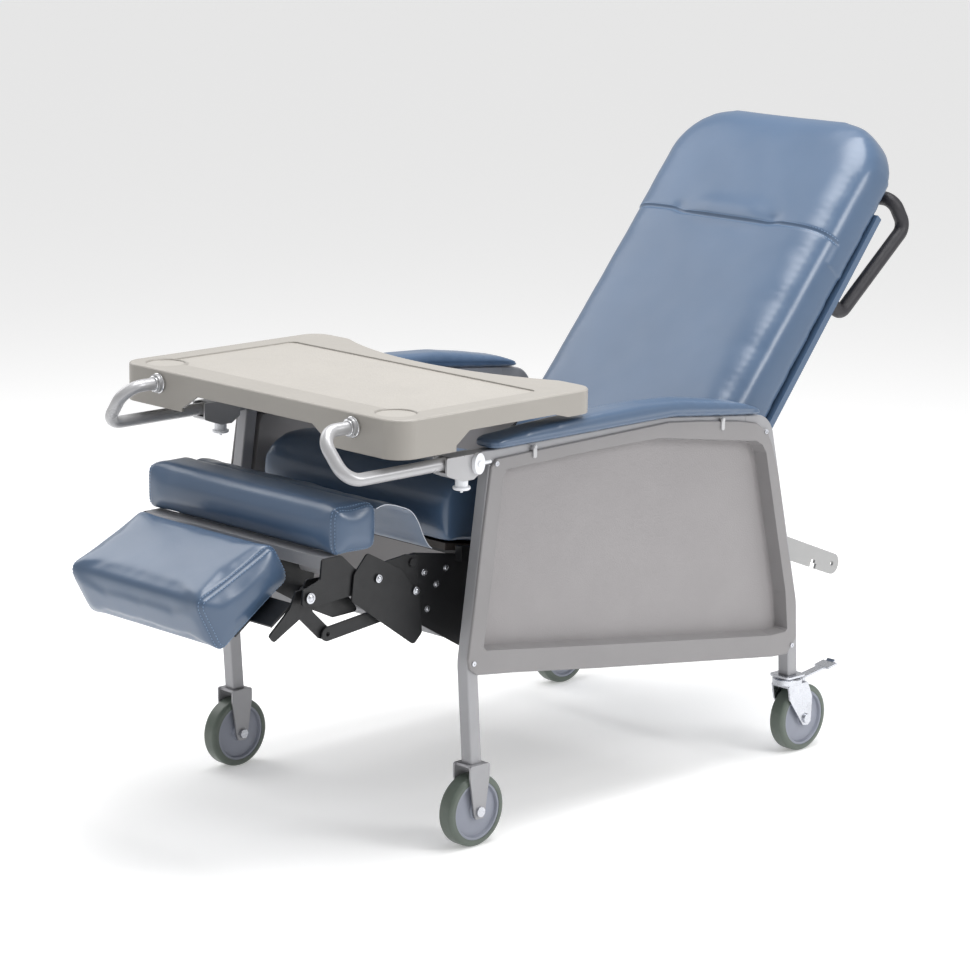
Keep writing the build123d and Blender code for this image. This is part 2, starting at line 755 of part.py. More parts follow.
def leg_crossbar():
    """Cross channel between the arms, under the calf pad."""
    with BuildPart() as bar:
        half = arm_x
        depth = crossbar_rear - crossbar_front
        height = crossbar_high - crossbar_low
        mid_y, mid_z = (crossbar_front + crossbar_rear) / 2, (crossbar_low + crossbar_high) / 2
        with Locations((0, mid_y, mid_z)):
            Box(2 * half, depth, height)
        with Locations((0, mid_y, mid_z - 1.5)):
            Box(2 * half - 6, depth - 5, height, mode=Mode.SUBTRACT)
    save(bar, "leg_crossbar")


sole_short = 0.25           # share of the pad's depth that the sole stops short of its front
sole_in = 20.0              # from the pad's end to the sole's


def foot_brackets():
    """Side plates that carry the foot pad, joined by a plate under it."""
    (ry, rz), (fy, fz) = foot_pad_outline[3], foot_pad_outline[2]
    ny, nz = (rz - fz), -(ry - fy)
    norm = (ny * ny + nz * nz) ** 0.5
    ny, nz = ny / norm, nz / norm
    with BuildPart() as bracket:
        outline = [
            (foot_y - 14, foot_z + 10), (foot_y + 12, foot_z + 12), (foot_y + 22, foot_z - 30),
            (link_end_y + 12, link_end_z + 4), (link_end_y + 4, link_end_z - 13),
            (link_end_y - 14, link_end_z - 6), (-668, 432), (-724, 402), (-734, 414), (-690, 452),
        ]
        slab(outline, bracket_x, bracket_x + plate, 4.0)
        rod(foot_y, foot_z, bracket_x - 1, bracket_x + plate + 1, pivot_r + running, mode=Mode.SUBTRACT)
        rod(link_end_y, link_end_z, bracket_x - 1, bracket_x + plate + 1, pivot_r, mode=Mode.SUBTRACT)
        near, far = clear, clear + 4
        front_y, front_z = fy + sole_short * (ry - fy), fz + sole_short * (rz - fz)
        sole = [
            (ry - 40 + near * ny, rz - 27.6 + near * nz), (front_y + near * ny, front_z + near * nz),
            (front_y + far * ny, front_z + far * nz), (ry - 40 + far * ny, rz - 27.6 + far * nz),
        ]
        slab(sole, 0, foot_pad_half - sole_in)
        wide_y, wide_z = fy + 0.45 * (ry - fy), fz + 0.45 * (rz - fz)
        wing = [
            sole[0], (wide_y + near * ny, wide_z + near * nz), (wide_y + far * ny, wide_z + far * nz), sole[3],
        ]
        slab(wing, foot_pad_half - sole_in - 0.5, bracket_x + 0.5)
        guard = [(-665, 455), (-590, 420), (-532, 422), (-566, 464), (-588, 493), (-648, 494)]
        slab(guard, inner_guard_x, inner_guard_x + guard_sheet, 5.0)
        rod(-645.0, 440.0, inner_guard_x, bracket_x, 5.0)
    save_both(bracket, "foot_brackets")


def lower_links():
    """Links that turn the foot pad as the arms fold; the outer pivot is left open."""
    with BuildPart() as link:
        dy, dz = link_end_y - link_y, link_end_z - link_z
        length = (dy * dy + dz * dz) ** 0.5
        uy, uz = dy / length, dz / length
        wide = 12.0
        outline = [
            (link_y - wide * uy - wide * uz, link_z - wide * uz + wide * uy),
            (link_y - wide * uy + wide * uz, link_z - wide * uz - wide * uy),
            (link_end_y + wide * uy + wide * uz, link_end_z + wide * uz - wide * uy),
            (link_end_y + wide * uy - wide * uz, link_end_z + wide * uz + wide * uy),
        ]
        slab(outline, link_x, link_x + plate, 11.0)
        rod(link_y, link_z, link_x - 1, link_x + plate + 1, pivot_r + running, mode=Mode.SUBTRACT)
        rod(link_end_y, link_end_z, link_x - 1, link_x + plate + 1, pivot_r, mode=Mode.SUBTRACT)
    save_both(link, "lower_links")


flap_half = 240.0
flap_line = [(-521.5, 600), (-514, 604), (-436, 584), (-418, 560), (-408, 528), (-392, 511)]


def vinyl_flap():
    """Vinyl apron from the calf pad to the seat's front edge."""
    with BuildPart() as flap:
        back = [(y + 2.5, z + 1.5) for y, z in flap_line]
        slab(flap_line + back[::-1], -flap_half, flap_half)
    save(flap, "vinyl_flap")


# ---- tray ---------------------------------------------------------------
tray_sheet = 6.0
skirt_sheet = 5.0
skirt_corner, skirt_middle, skirt_rear = 66.0, 34.0, 42.0
cup_r = 36.0


def tray_plan():
    """Plan of the tray: rounded corners and a belly cut-out along the rear edge."""
    with BuildSketch(Plane.XY.offset(tray_top_z)) as plan:
        with BuildLine():
            Polyline((tray_half, tray_rear), (tray_half, tray_front), (-tray_half, tray_front),
                     (-tray_half, tray_rear), (-tray_half + 90, tray_rear))
            ThreePointArc((-tray_half + 90, tray_rear), (0, tray_rear - 62), (tray_half - 90, tray_rear))
            Line((tray_half - 90, tray_rear), (tray_half, tray_rear))
        make_face()
        fillet(plan.vertices().filter_by(lambda v: abs(v.X) > tray_half - 1), 38.0)
    return plan.sketch


def tray_top():
    """Moulded tray with a rim, two cup wells and a deep arched skirt."""
    plan = tray_plan()
    with BuildPart() as tray:
        add(plan)
        extrude(amount=-skirt_corner)
        fillet(tray.faces().sort_by(Axis.Z)[-1].edges(), 4.0)
        with BuildSketch(Plane.XY.offset(tray_top_z - tray_sheet)):
            add(plan.moved(Location((0, 0, -tray_sheet))))
            offset(amount=-skirt_sheet, mode=Mode.REPLACE)
        extrude(amount=-skirt_corner, mode=Mode.SUBTRACT)
        with BuildSketch(Plane.XY.offset(tray_top_z)):
            with Locations((0, (tray_front + tray_rear) / 2 - 18)):
                RectangleRounded(630, 300, 14)
        extrude(amount=-2.5, mode=Mode.SUBTRACT)
        with BuildSketch(Plane.XY.offset(tray_top_z)):
            with Locations((tray_half - 62, tray_front + 52), (62 - tray_half, tray_front + 52)):
                Circle(cup_r)
        extrude(amount=-2.5, mode=Mode.SUBTRACT)
        front_arch = [(-190, 600), (190, 600), (190, tray_top_z - 60), (150, tray_top_z - skirt_middle),
                      (-150, tray_top_z - skirt_middle), (-190, tray_top_z - 60)]
        with BuildSketch(Plane.XZ.offset(-tray_front + 20)) as arch:
            with BuildLine():
                Polyline(*front_arch, close=True)
            make_face()
        extrude(amount=-60, mode=Mode.SUBTRACT)
        rear_cut = [(tray_front + 130, 600), (tray_rear + 20, 600), (tray_rear + 20, tray_top_z - skirt_rear),
                    (tray_rear - 70, tray_top_z - skirt_rear), (tray_rear - 100, tray_top_z - skirt_middle),
                    (tray_front + 160, tray_top_z - skirt_middle), (tray_front + 130, tray_top_z - 56)]
        slab(rear_cut, -tray_half - 5, tray_half + 5, mode=Mode.SUBTRACT)
        for x in (tray_grip_x, -tray_grip_x):
            with BuildSketch(Plane.XZ.offset(-tray_front + 1)):
                with Locations((x, tray_grip_z)):
                    Circle(tray_tube_r + 0.2)
            extrude(amount=-60, mode=Mode.SUBTRACT)
    save(tray, "tray_top")


def tray_tubes():
    """Bent tubes that carry the tray and telescope into the arm rails, with their collars."""
    with BuildPart() as tubes:
        with BuildLine() as route:
            FilletPolyline(
                (tray_grip_x, tray_front + 90, tray_grip_z), (tray_grip_x, tray_reach_y, tray_grip_z),
                (side_x, tray_reach_y + 6, tray_tube_z), (side_x, -260, tray_tube_z), radius=[34.0, 34.0],
            )
        with BuildSketch(Plane(origin=route.line @ 0, x_dir=(1, 0, 0), z_dir=route.line % 0)):
            Circle(tray_tube_r)
            Circle(tray_tube_r - 1.6, mode=Mode.SUBTRACT)
        sweep(path=route.line)
        with BuildSketch(Plane.XZ.offset(-tray_front + clear)):
            with Locations((tray_grip_x, tray_grip_z)):
                Circle(tray_tube_r + 5)
                Circle(tray_tube_r + 0.1, mode=Mode.SUBTRACT)
        extrude(amount=10)
    save_both(tubes, "tray_tubes")


collar_front, collar_rear = -444.0, -362.0
knob_y = -394.0
lock_pin_r = 3.0
paddle_y = -376.0


def tray_collar():
    """Moulded collar on the rail's front end that carries the tray lock."""
    low, high = rail_z - 17, rail_z + 12.4
    with BuildPart() as collar:
        outline = [(collar_front, low), (collar_front + 14, low - 6), (knob_y - 12, low - 14),
                   (knob_y + 12, low - 14), (collar_rear, low - 2), (collar_rear, high), (collar_front, high)]
        slab(outline, side_x - 17, side_x + 17, 3.0)
        bore = tube + 2 * 0.1
        with Locations((side_x, (collar_front + collar_rear) / 2 + 8, rail_z + 10)):
            Box(bore, collar_rear - collar_front, bore + 20, mode=Mode.SUBTRACT)
        with Locations((side_x, collar_front, rail_z)):
            Box(bore, 40, bore, mode=Mode.SUBTRACT)
        post(side_x, knob_y, low - 20, rail_z, lock_pin_r + running, mode=Mode.SUBTRACT)
    save_pair(collar, "tray_collar")


def lock_knob():
    """Pull knob with its locking pin, under the collar."""
    bottom = rail_z - 17 - 14
    with BuildPart() as knob:
        post(side_x, knob_y, bottom - 18, bottom - clear, 11.0)
        post(side_x, knob_y, bottom - 18, bottom - 13, 15.0)
        post(side_x, knob_y, bottom - clear, rail_z - tube / 2 - clear, lock_pin_r)
        chamfer(knob.faces().sort_by(Axis.Z)[0].edges(), 1.5)
        post(side_x, knob_y, bottom - 23, bottom - 17, 2.5)
    save_pair(knob, "lock_knob")


def lock_paddle():
    """Cam paddle on the collar's outer side."""
    face = side_x + 17 + clear
    with BuildPart() as paddle:
        with BuildSketch(Plane.YZ.offset(face)):
            with Locations((paddle_y, rail_z - 4)):
                Ellipse(12, 18)
        extrude(amount=8)
        rod(paddle_y, rail_z - 4, face, face + 9.5, 5.0)
        with BuildSketch(Plane.XZ.offset(-(paddle_y + 10))):
            with Locations((face + 4, rail_z - 4)):
                Circle(3.0)
        extrude(amount=-18)
    save_pair(paddle, "lock_paddle")


# ---- build --------------------------------------------------------------
for make in (
    front_leg, arm_rail, rear_leg, lower_rails, cross_tubes, front_fork, front_axles, caster_heads,
    caster_fork, brake_pedal, side_panel, panel_screws, turn_clips, arm_pad, seat_cushion, seat_deck,
    seat_frame, mech_plates, rear_supports, back_cushion, back_board, back_frame, push_handle,
    recline_bar, upper_pad, foot_pad, leg_arms, guard_plates, leg_crossbar, foot_brackets, lower_links,
    vinyl_flap, tray_top, tray_tubes, tray_collar, lock_knob, lock_paddle,
):
    make()
wheel(front_axle_y, "front")
wheel(caster_wheel_y, "rear")
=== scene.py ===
"""Patient recliner chair: upholstery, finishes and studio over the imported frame.

Metres, in the frame's own axes: +Z up, the chair faces -Y, +X is the occupant's left.
"""
import json
import logging
import math
from collections.abc import Iterable, Sequence
from dataclasses import dataclass
from enum import Enum
from functools import cache
from typing import Any, ClassVar

import bmesh
import bpy
from mathutils import Matrix, Vector, noise
from mathutils.bvhtree import BVHTree


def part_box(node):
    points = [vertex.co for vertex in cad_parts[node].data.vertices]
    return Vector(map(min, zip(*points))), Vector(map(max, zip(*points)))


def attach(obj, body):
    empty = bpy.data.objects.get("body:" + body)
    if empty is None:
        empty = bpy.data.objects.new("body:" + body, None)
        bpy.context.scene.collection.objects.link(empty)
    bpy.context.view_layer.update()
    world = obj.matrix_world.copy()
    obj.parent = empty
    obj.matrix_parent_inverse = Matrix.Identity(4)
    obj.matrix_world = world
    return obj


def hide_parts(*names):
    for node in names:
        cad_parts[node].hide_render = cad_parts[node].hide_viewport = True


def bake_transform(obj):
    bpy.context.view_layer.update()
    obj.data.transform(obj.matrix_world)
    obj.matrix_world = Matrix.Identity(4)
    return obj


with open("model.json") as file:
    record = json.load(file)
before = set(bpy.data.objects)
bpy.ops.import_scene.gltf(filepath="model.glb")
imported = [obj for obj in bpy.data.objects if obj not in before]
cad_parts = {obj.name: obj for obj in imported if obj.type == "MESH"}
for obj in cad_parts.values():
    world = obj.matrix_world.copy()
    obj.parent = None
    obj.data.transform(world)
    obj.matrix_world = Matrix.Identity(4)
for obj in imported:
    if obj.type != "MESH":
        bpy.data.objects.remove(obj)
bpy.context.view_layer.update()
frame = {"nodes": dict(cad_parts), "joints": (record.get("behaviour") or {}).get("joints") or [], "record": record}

LOG = logging.getLogger("recliner")
MM = 0.001
Spot = tuple[Vector, Vector]            # a place on a surface and the way it faces
Outline = tuple[tuple[float, float], ...]       # (y, z) points of a side view, in order
Shape, Piece = bmesh.types.BMesh, bpy.types.Object
Tree, Node, Socket = bpy.types.NodeTree, bpy.types.Node, bpy.types.NodeSocket
SAME = 1e-6                             # places closer than this are one place
OUTSIDE = 0.5                           # farther from a pad's middle than its cover
DOWN = Vector((0, 0, -1))
UP = Vector((0, 0, 1))


# ---- small helpers ------------------------------------------------------
def linear(colour: str) -> tuple[float, float, float, float]:
    """Turns an sRGB hex colour into the linear values that a shader takes.

    Args:
        colour: Six hex digits after a hash.
    Returns:
        Red, green, blue and an alpha of 1.
    """
    parts = [int(colour[i:i + 2], 16) / 255 for i in (1, 3, 5)]
    return (*[p / 12.92 if p <= 0.04045 else ((p + 0.055) / 1.055) ** 2.4 for p in parts], 1.0)


def add_node(tree: Tree, kind: str, links: dict[str | int, Any] | None = None,
             values: dict[str | int, Any] | None = None, **settings: Any) -> Node:
    """Adds a shader node with its settings, socket values and links.

    Args:
        tree: The material's node tree.
        kind: The node's type.
        links: What each of its inputs takes, by the input's name or place.
        values: What each unlinked input is set to.
        settings: The node's own properties.
    Returns:
        The new node.
    """
    node = tree.nodes.new(kind)
    for name, value in settings.items():
        setattr(node, name, value)
    for socket, value in (values or {}).items():
        node.inputs[socket].default_value = value
    for socket, source in (links or {}).items():
        tree.links.new(source, node.inputs[socket])
    return node


@cache
def room(node: str) -> tuple[Vector, Vector]:
    """Lowest and highest corners of a frame node."""
    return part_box(node)


@cache
def joint_place(name: str) -> Vector:
    """Where a joint's pin is at rest."""
    return Vector(next(j["pos_m"] for j in frame["joints"] if j["name"] == name))


def as_piece(shape: Shape, name: str, smooth: float | None = 180.0) -> Piece:
    """Turns a finished bmesh into a piece at the origin.

    Args:
        shape: The bmesh, which is freed.
        name: The piece's name.
        smooth: Edges that turn by less than this many degrees are shaded smooth.
    Returns:
        The new object, linked to the scene.
    """
    mesh = bpy.data.meshes.new(name)
    shape.normal_update()
    shape.to_mesh(mesh)
    shape.free()
    piece = bpy.data.objects.new(name, mesh)
    bpy.context.scene.collection.objects.link(piece)
    if smooth is not None:
        mesh.shade_smooth()
        if smooth < 180:
            mesh.set_sharp_from_angle(angle=math.radians(smooth))
    return piece


def settle(piece: Piece) -> None:
    """Replaces a piece's mesh by what its modifiers make of it, and drops them."""
    graph = bpy.context.evaluated_depsgraph_get()
    made = bpy.data.meshes.new_from_object(piece.evaluated_get(graph), depsgraph=graph)
    piece.modifiers.clear()
    piece.data = made
    made.shade_smooth()


def side_slab(outline: Sequence[tuple[float, float]], low: float, high: float) -> Shape:
    """Pulls a side-view outline across the chair.

    Args:
        outline: (y, z) points in order.
        low: Lowest x.
        high: Highest x.
    Returns:
        A closed bmesh.
    """
    shape = bmesh.new()
    face = shape.faces.new([shape.verts.new((low, y, z)) for y, z in outline])
    grown = bmesh.ops.extrude_face_region(shape, geom=[face])["geom"]
    moved = [g for g in grown if isinstance(g, bmesh.types.BMVert)]
    bmesh.ops.translate(shape, verts=moved, vec=(high - low, 0, 0))
    bmesh.ops.recalc_face_normals(shape, faces=shape.faces)
    return shape


def round_edges(shape: Shape, edges: Iterable[bmesh.types.BMEdge], radius: float,
                segments: int = 4) -> None:
    """Rounds some of a shape's edges.

    Args:
        shape: The bmesh.
        edges: Which of its edges.
        radius: How far from an edge the rounding starts.
        segments: How many strips make the rounding.
    """
    bmesh.ops.bevel(shape, geom=list(edges), offset=radius, offset_type="OFFSET",
                    segments=segments, profile=0.5, affect="EDGES", material=-1,
                    clamp_overlap=True)


def reach(edge: bmesh.types.BMEdge, axis: int) -> float:
    """How far an edge runs along an axis."""
    return abs(edge.verts[0].co[axis] - edge.verts[1].co[axis])


def lathe(profile: Sequence[tuple[float, float]], place: Vector, axis: Vector,
          steps: int = 32) -> Shape:
    """Spins a profile about an axis.

    Args:
        profile: (distance along the axis, radius) points; the ends lie on the axis or join up.
        place: Where the axis starts.
        axis: Its direction.
        steps: Segments in a full turn.
    Returns:
        A closed bmesh.
    """
    shape = bmesh.new()
    spots = [shape.verts.new((radius, 0, along)) for along, radius in profile]
    edges = [shape.edges.new(pair) for pair in zip(spots, spots[1:])]
    bmesh.ops.spin(shape, geom=spots + edges, cent=(0, 0, 0), axis=(0, 0, 1), angle=math.tau,
                   steps=steps, use_merge=True)
    bmesh.ops.remove_doubles(shape, verts=shape.verts, dist=SAME)
    bmesh.ops.recalc_face_normals(shape, faces=shape.faces)
    turn = UP.rotation_difference(axis).to_matrix().to_4x4()
    bmesh.ops.transform(shape, matrix=Matrix.Translation(place) @ turn, verts=shape.verts)
    return shape


def joined(shapes: Iterable[Shape]) -> Shape:
    """Puts several shapes into one bmesh.

    Args:
        shapes: The shapes, which are freed.
    Returns:
        One bmesh that holds them all.
    """
    whole = bmesh.new()
    for shape in shapes:
        part = bpy.data.meshes.new("part")
        shape.to_mesh(part)
        shape.free()
        whole.from_mesh(part)
        bpy.data.meshes.remove(part)
    return whole


def fade(value: float, low: float, high: float) -> float:
    """0 below low, 1 above high and a smooth step between them."""
    t = min(max((value - low) / (high - low), 0.0), 1.0)
    return t * t * (3 - 2 * t)


def hump(value: float, width: float) -> float:
    """A bell that is 1 at 0 and falls away over width."""
    return math.exp(-((value / width) ** 2))


@dataclass(frozen=True)
class Fold:
    """A rounded ridge along a line, or a groove where its height is below 0."""

    height: float
    off: float                          # its crest's distance from the line
    width: float

    def rise(self, distance: float) -> float:
        """Its height at a distance from the line."""
        return self.height * hump(distance - self.off, self.width)


# ---- finishes -----------------------------------------------------------
@dataclass(frozen=True)
class Finish:
    """What every finish has: a name, a colour, its shine, and how its edges catch the light."""

    name: str
    colour: str
    roughness: float = 0.5
    metallic: float = 0.0
    ior: float = 1.5
    edge: float = 0.0                   # radius that edges are rounded to in the shading, metres
    mottle: float = 0.06                # how far the colour wanders
    mottle_size: float = 0.12           # over what distance it wanders, metres
    grain: float = 0.0012               # size of the surface's own texture, metres
    relief: float = 0.05                # how strongly that texture shows
    coat: float = 0.0                   # weight of a clear top lacquer
    COAT_ROUGHNESS: ClassVar[float] = 0.24
    CLOUD: ClassVar[tuple[float, float]] = (0.3, 0.7)       # soft noise mostly stays in here
    SHINE: ClassVar[tuple[float, float]] = (0.9, 1.12)      # the roughness wanders between these

    def make(self) -> bpy.types.Material:
        """Builds the material: colour that wanders, uneven shine and a fine relief.

        Returns:
            The new material.
        """
        material = bpy.data.materials.new(self.name)
        material.use_nodes = True
        tree = material.node_tree
        tree.nodes.clear()
        shader = add_node(tree, "ShaderNodeBsdfPrincipled",
                          values={"Metallic": self.metallic, "IOR": self.ior,
                                  "Coat Weight": self.coat,
                                  "Coat Roughness": self.COAT_ROUGHNESS})
        add_node(tree, "ShaderNodeOutputMaterial", {"Surface": shader.outputs[0]})
        place = add_node(tree, "ShaderNodeTexCoord").outputs["Object"]
        self.paint(tree, shader, place)
        self.texture(tree, shader, place)
        return material

    def wander(self, tree: Tree, place: Socket, size: float, low: float, high: float) -> Socket:
        """Adds a soft noise.

        Args:
            tree: The material's node tree.
            place: The coordinates that it follows.
            size: Over what distance it varies, metres.
            low: Its lowest usual value.
            high: Its highest usual value.
        Returns:
            The noise's value.
        """
        cloud = add_node(tree, "ShaderNodeTexNoise", {"Vector": place},
                         {"Scale": 1 / size, "Detail": 3.0})
        return add_node(tree, "ShaderNodeMapRange", {"Value": cloud.outputs[0]},
                        {"From Min": self.CLOUD[0], "From Max": self.CLOUD[1],
                         "To Min": low, "To Max": high}).outputs[0]

    def ground(self, tree: Tree, place: Socket) -> Socket | None:
        """The colour before it wanders, where it isn't one plain colour."""
        return None

    def paint(self, tree: Tree, shader: Node, place: Socket) -> None:
        """Links the base colour and the roughness.

        Args:
            tree: The material's node tree.
            shader: Its surface shader.
            place: The coordinates that they follow.
        """
        links = {"Value": self.wander(tree, place, self.mottle_size, 1 - self.mottle,
                                      1 + self.mottle)}
        ground = self.ground(tree, place)
        if ground:
            links["Color"] = ground
        tint = add_node(tree, "ShaderNodeHueSaturation", links, {"Color": linear(self.colour)})
        tree.links.new(tint.outputs[0], shader.inputs["Base Color"])
        uneven = self.wander(tree, place, self.mottle_size / 3,
                             *(self.roughness * share for share in self.SHINE))
        tree.links.new(uneven, shader.inputs["Roughness"])

    def height(self, tree: Tree, place: Socket) -> Socket:
        """The relief's height; the plain one is an even orange peel."""
        return add_node(tree, "ShaderNodeTexNoise", {"Vector": place},
                        {"Scale": 1 / self.grain, "Detail": 2.0}).outputs[0]

    def texture(self, tree: Tree, shader: Node, place: Socket) -> None:
        """Links the relief, laid over rounded edges where the finish has them.

        Args:
            tree: The material's node tree.
            shader: Its surface shader.
            place: The coordinates that the relief follows.
        """
        bump = add_node(tree, "ShaderNodeBump", {"Height": self.height(tree, place)},
                        {"Strength": self.relief, "Distance": self.grain})
        if self.edge:
            soft = add_node(tree, "ShaderNodeBevel", values={"Radius": self.edge}, samples=4)
            tree.links.new(soft.outputs[0], bump.inputs["Normal"])
        tree.links.new(bump.outputs[0], shader.inputs["Normal"])


@dataclass(frozen=True)
class Upholstery(Finish):
    """Calendered PVC upholstery: an even semi-gloss skin with a fine embossed leather grain."""

    pore: float = 0.0016                # a leather cell of the embossing, drawn coarser to show
    creases: float = 0.018              # soft wandering of the stretched skin
    crease_weight: float = 1.6          # how much more the wandering shows than the cells

    def height(self, tree: Tree, place: Socket) -> Socket:
        """Leather cells over the slow unevenness of a skin stretched on foam."""
        cells = add_node(tree, "ShaderNodeTexVoronoi", {"Vector": place},
                         {"Scale": 1 / self.pore}, feature="DISTANCE_TO_EDGE")
        slow = add_node(tree, "ShaderNodeTexNoise", {"Vector": place},
                        {"Scale": 1 / self.creases, "Detail": 2.0})
        return add_node(tree, "ShaderNodeMath", {0: slow.outputs[0], 2: cells.outputs[0]},
                        {1: self.crease_weight}, operation="MULTIPLY_ADD").outputs[0]


@dataclass(frozen=True)
class Grained(Finish):
    """Moulded plastic with an etched leather grain in one recessed field, and a satin border."""

    axis: str = "X"                     # the field faces along this axis
    field: tuple[float, float] = (0.0, 1.0)     # the field lies between these distances along it
    field_colour: str = "#A0A0A0"
    etch: float = 0.0022                # one etched cell

    def inside(self, tree: Tree, place: Socket) -> Socket:
        """1 in the recessed field and 0 outside it."""
        parts = add_node(tree, "ShaderNodeSeparateXYZ", {0: place})
        far = add_node(tree, "ShaderNodeMath", {0: parts.outputs[self.axis]},
                       operation="ABSOLUTE")
        near, end = self.field
        return add_node(tree, "ShaderNodeMath", {0: far.outputs[0]},
                        {1: (near + end) / 2, 2: (end - near) / 2},
                        operation="COMPARE").outputs[0]

    def ground(self, tree: Tree, place: Socket) -> Socket | None:
        """Two tones: the field's and the border's."""
        return add_node(tree, "ShaderNodeMix", {"Factor": self.inside(tree, place)},
                        {6: linear(self.colour), 7: linear(self.field_colour)},
                        data_type="RGBA").outputs[2]

    def height(self, tree: Tree, place: Socket) -> Socket:
        """Etched cells in the field only."""
        cells = add_node(tree, "ShaderNodeTexVoronoi", {"Vector": place},
                         {"Scale": 1 / self.etch}, feature="SMOOTH_F1")
        return add_node(tree, "ShaderNodeMath",
                        {0: cells.outputs[0], 1: self.inside(tree, place)},
                        operation="MULTIPLY").outputs[0]


@dataclass(frozen=True)
class Drawn(Finish):
    """A surface whose texture runs one way, as the lines of drawn steel and wood fibres do."""

    stretch: tuple[float, float, float] = (1, 1, 1 / 14)    # the lines run along the smallest
    detail: float = 2.0

    def height(self, tree: Tree, place: Socket) -> Socket:
        """Lines drawn out one way."""
        stretched = add_node(tree, "ShaderNodeMapping", {"Vector": place},
                             {"Scale": self.stretch})
        return add_node(tree, "ShaderNodeTexNoise", {"Vector": stretched.outputs[0]},
                        {"Scale": 1 / self.grain, "Detail": self.detail}).outputs[0]


class Look(Enum):
    """The chair's finishes, each built once."""

    # Calendered and embossed: broad soft highlights over a fine leather grain.
    VINYL = Upholstery("semi-gloss PVC upholstery", "#465B75", 0.33, coat=0.35, edge=0.0,
                       mottle=0.05, mottle_size=0.2, relief=0.09, grain=0.0008)
    # Twisted and dull, a shade lighter than the cover.
    THREAD = Finish("bonded polyester thread", "#7C95B4", 0.6, grain=0.0006, relief=0.4)
    # The pale knitted backing shows at a cut.
    CUT_EDGE = Finish("cut edge of backed vinyl", "#C9CED6", 0.8, grain=0.0008, relief=0.3)
    # Baked powder: a slight orange peel with a dim metallic depth.
    FRAME = Finish("silver powder coat", "#9C9C9F", 0.42, 0.35, edge=0.0012, mottle=0.03,
                   grain=0.0009, relief=0.12)
    # The same coat in a paler, flatter grey.
    BAR = Finish("light grey powder coat", "#A2A2A2", 0.4, 0.1, edge=0.0008, mottle=0.03,
                 grain=0.0009, relief=0.1)
    # Injection-moulded: a satin border round a field with a leather grain.
    PANEL = Grained("moulded ABS panel", "#868485", 0.42, edge=0.0015, mottle=0.03, axis="X",
                    field=(0.302, 0.3045), field_colour="#8F8C8D", relief=0.3)
    # Injection-moulded: even, satin and a little pale.
    CLIP = Finish("moulded acetal clip", "#B9B9BB", 0.4, edge=0.0005, grain=0.0008)
    # Blow-moulded: waxy, with big soft edges and a lightly etched field; the border's colour is painted darker
    # than the field, painted shade for the shadowed front lip.
    TRAY = Grained("blow-moulded polyethylene", "#9B9791", 0.38, edge=0.002, mottle=0.02,
                   axis="Z", field=(0.7690, 0.7700), field_colour="#A6A29C", etch=0.0028,
                   relief=0.35)
    # Left smooth by the mould, so it shines more than the field; its colour, darker than the field, is painted
    # shade for the shaded wall of the cup recess.
    CUP = Finish("polished polyethylene", "#8F8B85", 0.3, mottle=0.02, relief=0.03)
    # Sprayed and glossy, with sharp streaks along the bends.
    TRAY_TUBE = Finish("gloss silver enamel", "#B0B0B2", 0.3, 0.3, mottle=0.02, grain=0.0012,
                       relief=0.05)
    # Polished before plating: near-mirror, dark and bright bands.
    CHROME = Drawn("chromed steel", "#D9DADC", 0.13, 1.0, edge=0.0004, mottle=0.02,
                   grain=0.0008, relief=0.03)
    # Barrel-plated: bright but slightly milky.
    ZINC = Drawn("bright zinc plate", "#C7C9CF", 0.26, 1.0, edge=0.0006, mottle=0.06,
                 mottle_size=0.02, grain=0.0008, relief=0.08)
    # Baked powder: deep black with grey sheens on the edges.
    BLACK = Finish("satin black powder coat", "#121316", 0.45, 0.0, edge=0.0008, mottle=0.15,
                   mottle_size=0.06, grain=0.0010, relief=0.15)
    # Foamed with its own skin: soft sheen, a little lumpy.
    GRIP = Finish("skinned integral foam", "#222126", 0.5, mottle=0.1, mottle_size=0.05,
                  grain=0.0012, relief=0.25)
    # Injection-moulded: clean white with small sharp highlights.
    NYLON = Finish("white moulded nylon", "#E9EBEF", 0.32, ior=1.53, edge=0.0006, mottle=0.015,
                   grain=0.0008, relief=0.05)
    # Cast round the hub: greenish grey, satin, faintly scuffed.
    TREAD = Finish("moulded polyurethane tread", "#586159", 0.36, ior=1.5, edge=0.0008,
                   mottle=0.08, mottle_size=0.03, grain=0.0010, relief=0.12)
    # Injection-moulded: a flat bluish grey.
    HUB = Finish("grey moulded nylon hub", "#888C98", 0.42, ior=1.53, edge=0.0005, mottle=0.03,
                 mottle_size=0.04, grain=0.0008, relief=0.1)
    # Stained over its figure: dark and dull, with long fibres along the width.
    PLY = Drawn("dark stained plywood", "#3B3430", 0.6, mottle=0.12, mottle_size=0.06,
                grain=0.0015, relief=0.2, stretch=(0.05, 1, 1), detail=4.0)

    def material(self) -> bpy.types.Material:
        """The finish's material, made when it is first asked for."""
        return bpy.data.materials.get(self.value.name) or self.value.make()


SLOT_LOOKS: dict[str, Look] = {
    "frame_paint": Look.FRAME, "zinc": Look.ZINC, "panel_plastic": Look.PANEL,
    "clip_plastic": Look.CLIP, "vinyl": Look.VINYL, "plywood": Look.PLY,
    "black_steel": Look.BLACK, "bar_paint": Look.BAR, "grip_foam": Look.GRIP,
    "tray_plastic": Look.TRAY, "tray_tube_paint": Look.TRAY_TUBE, "lock_plastic": Look.NYLON,
    "tread": Look.TREAD, "hub_plastic": Look.HUB,
}


def dress(piece: Piece, look: Look, body: str | None = None) -> Piece:
    """Gives a piece its finish and its body.

    Args:
        piece: The piece.
        look: Its finish.
        body: The body that it rides, where it rides one.
    Returns:
        The same piece.
    """
    piece.data.materials.append(look.material())
    if body:
        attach(piece, body)
    return piece


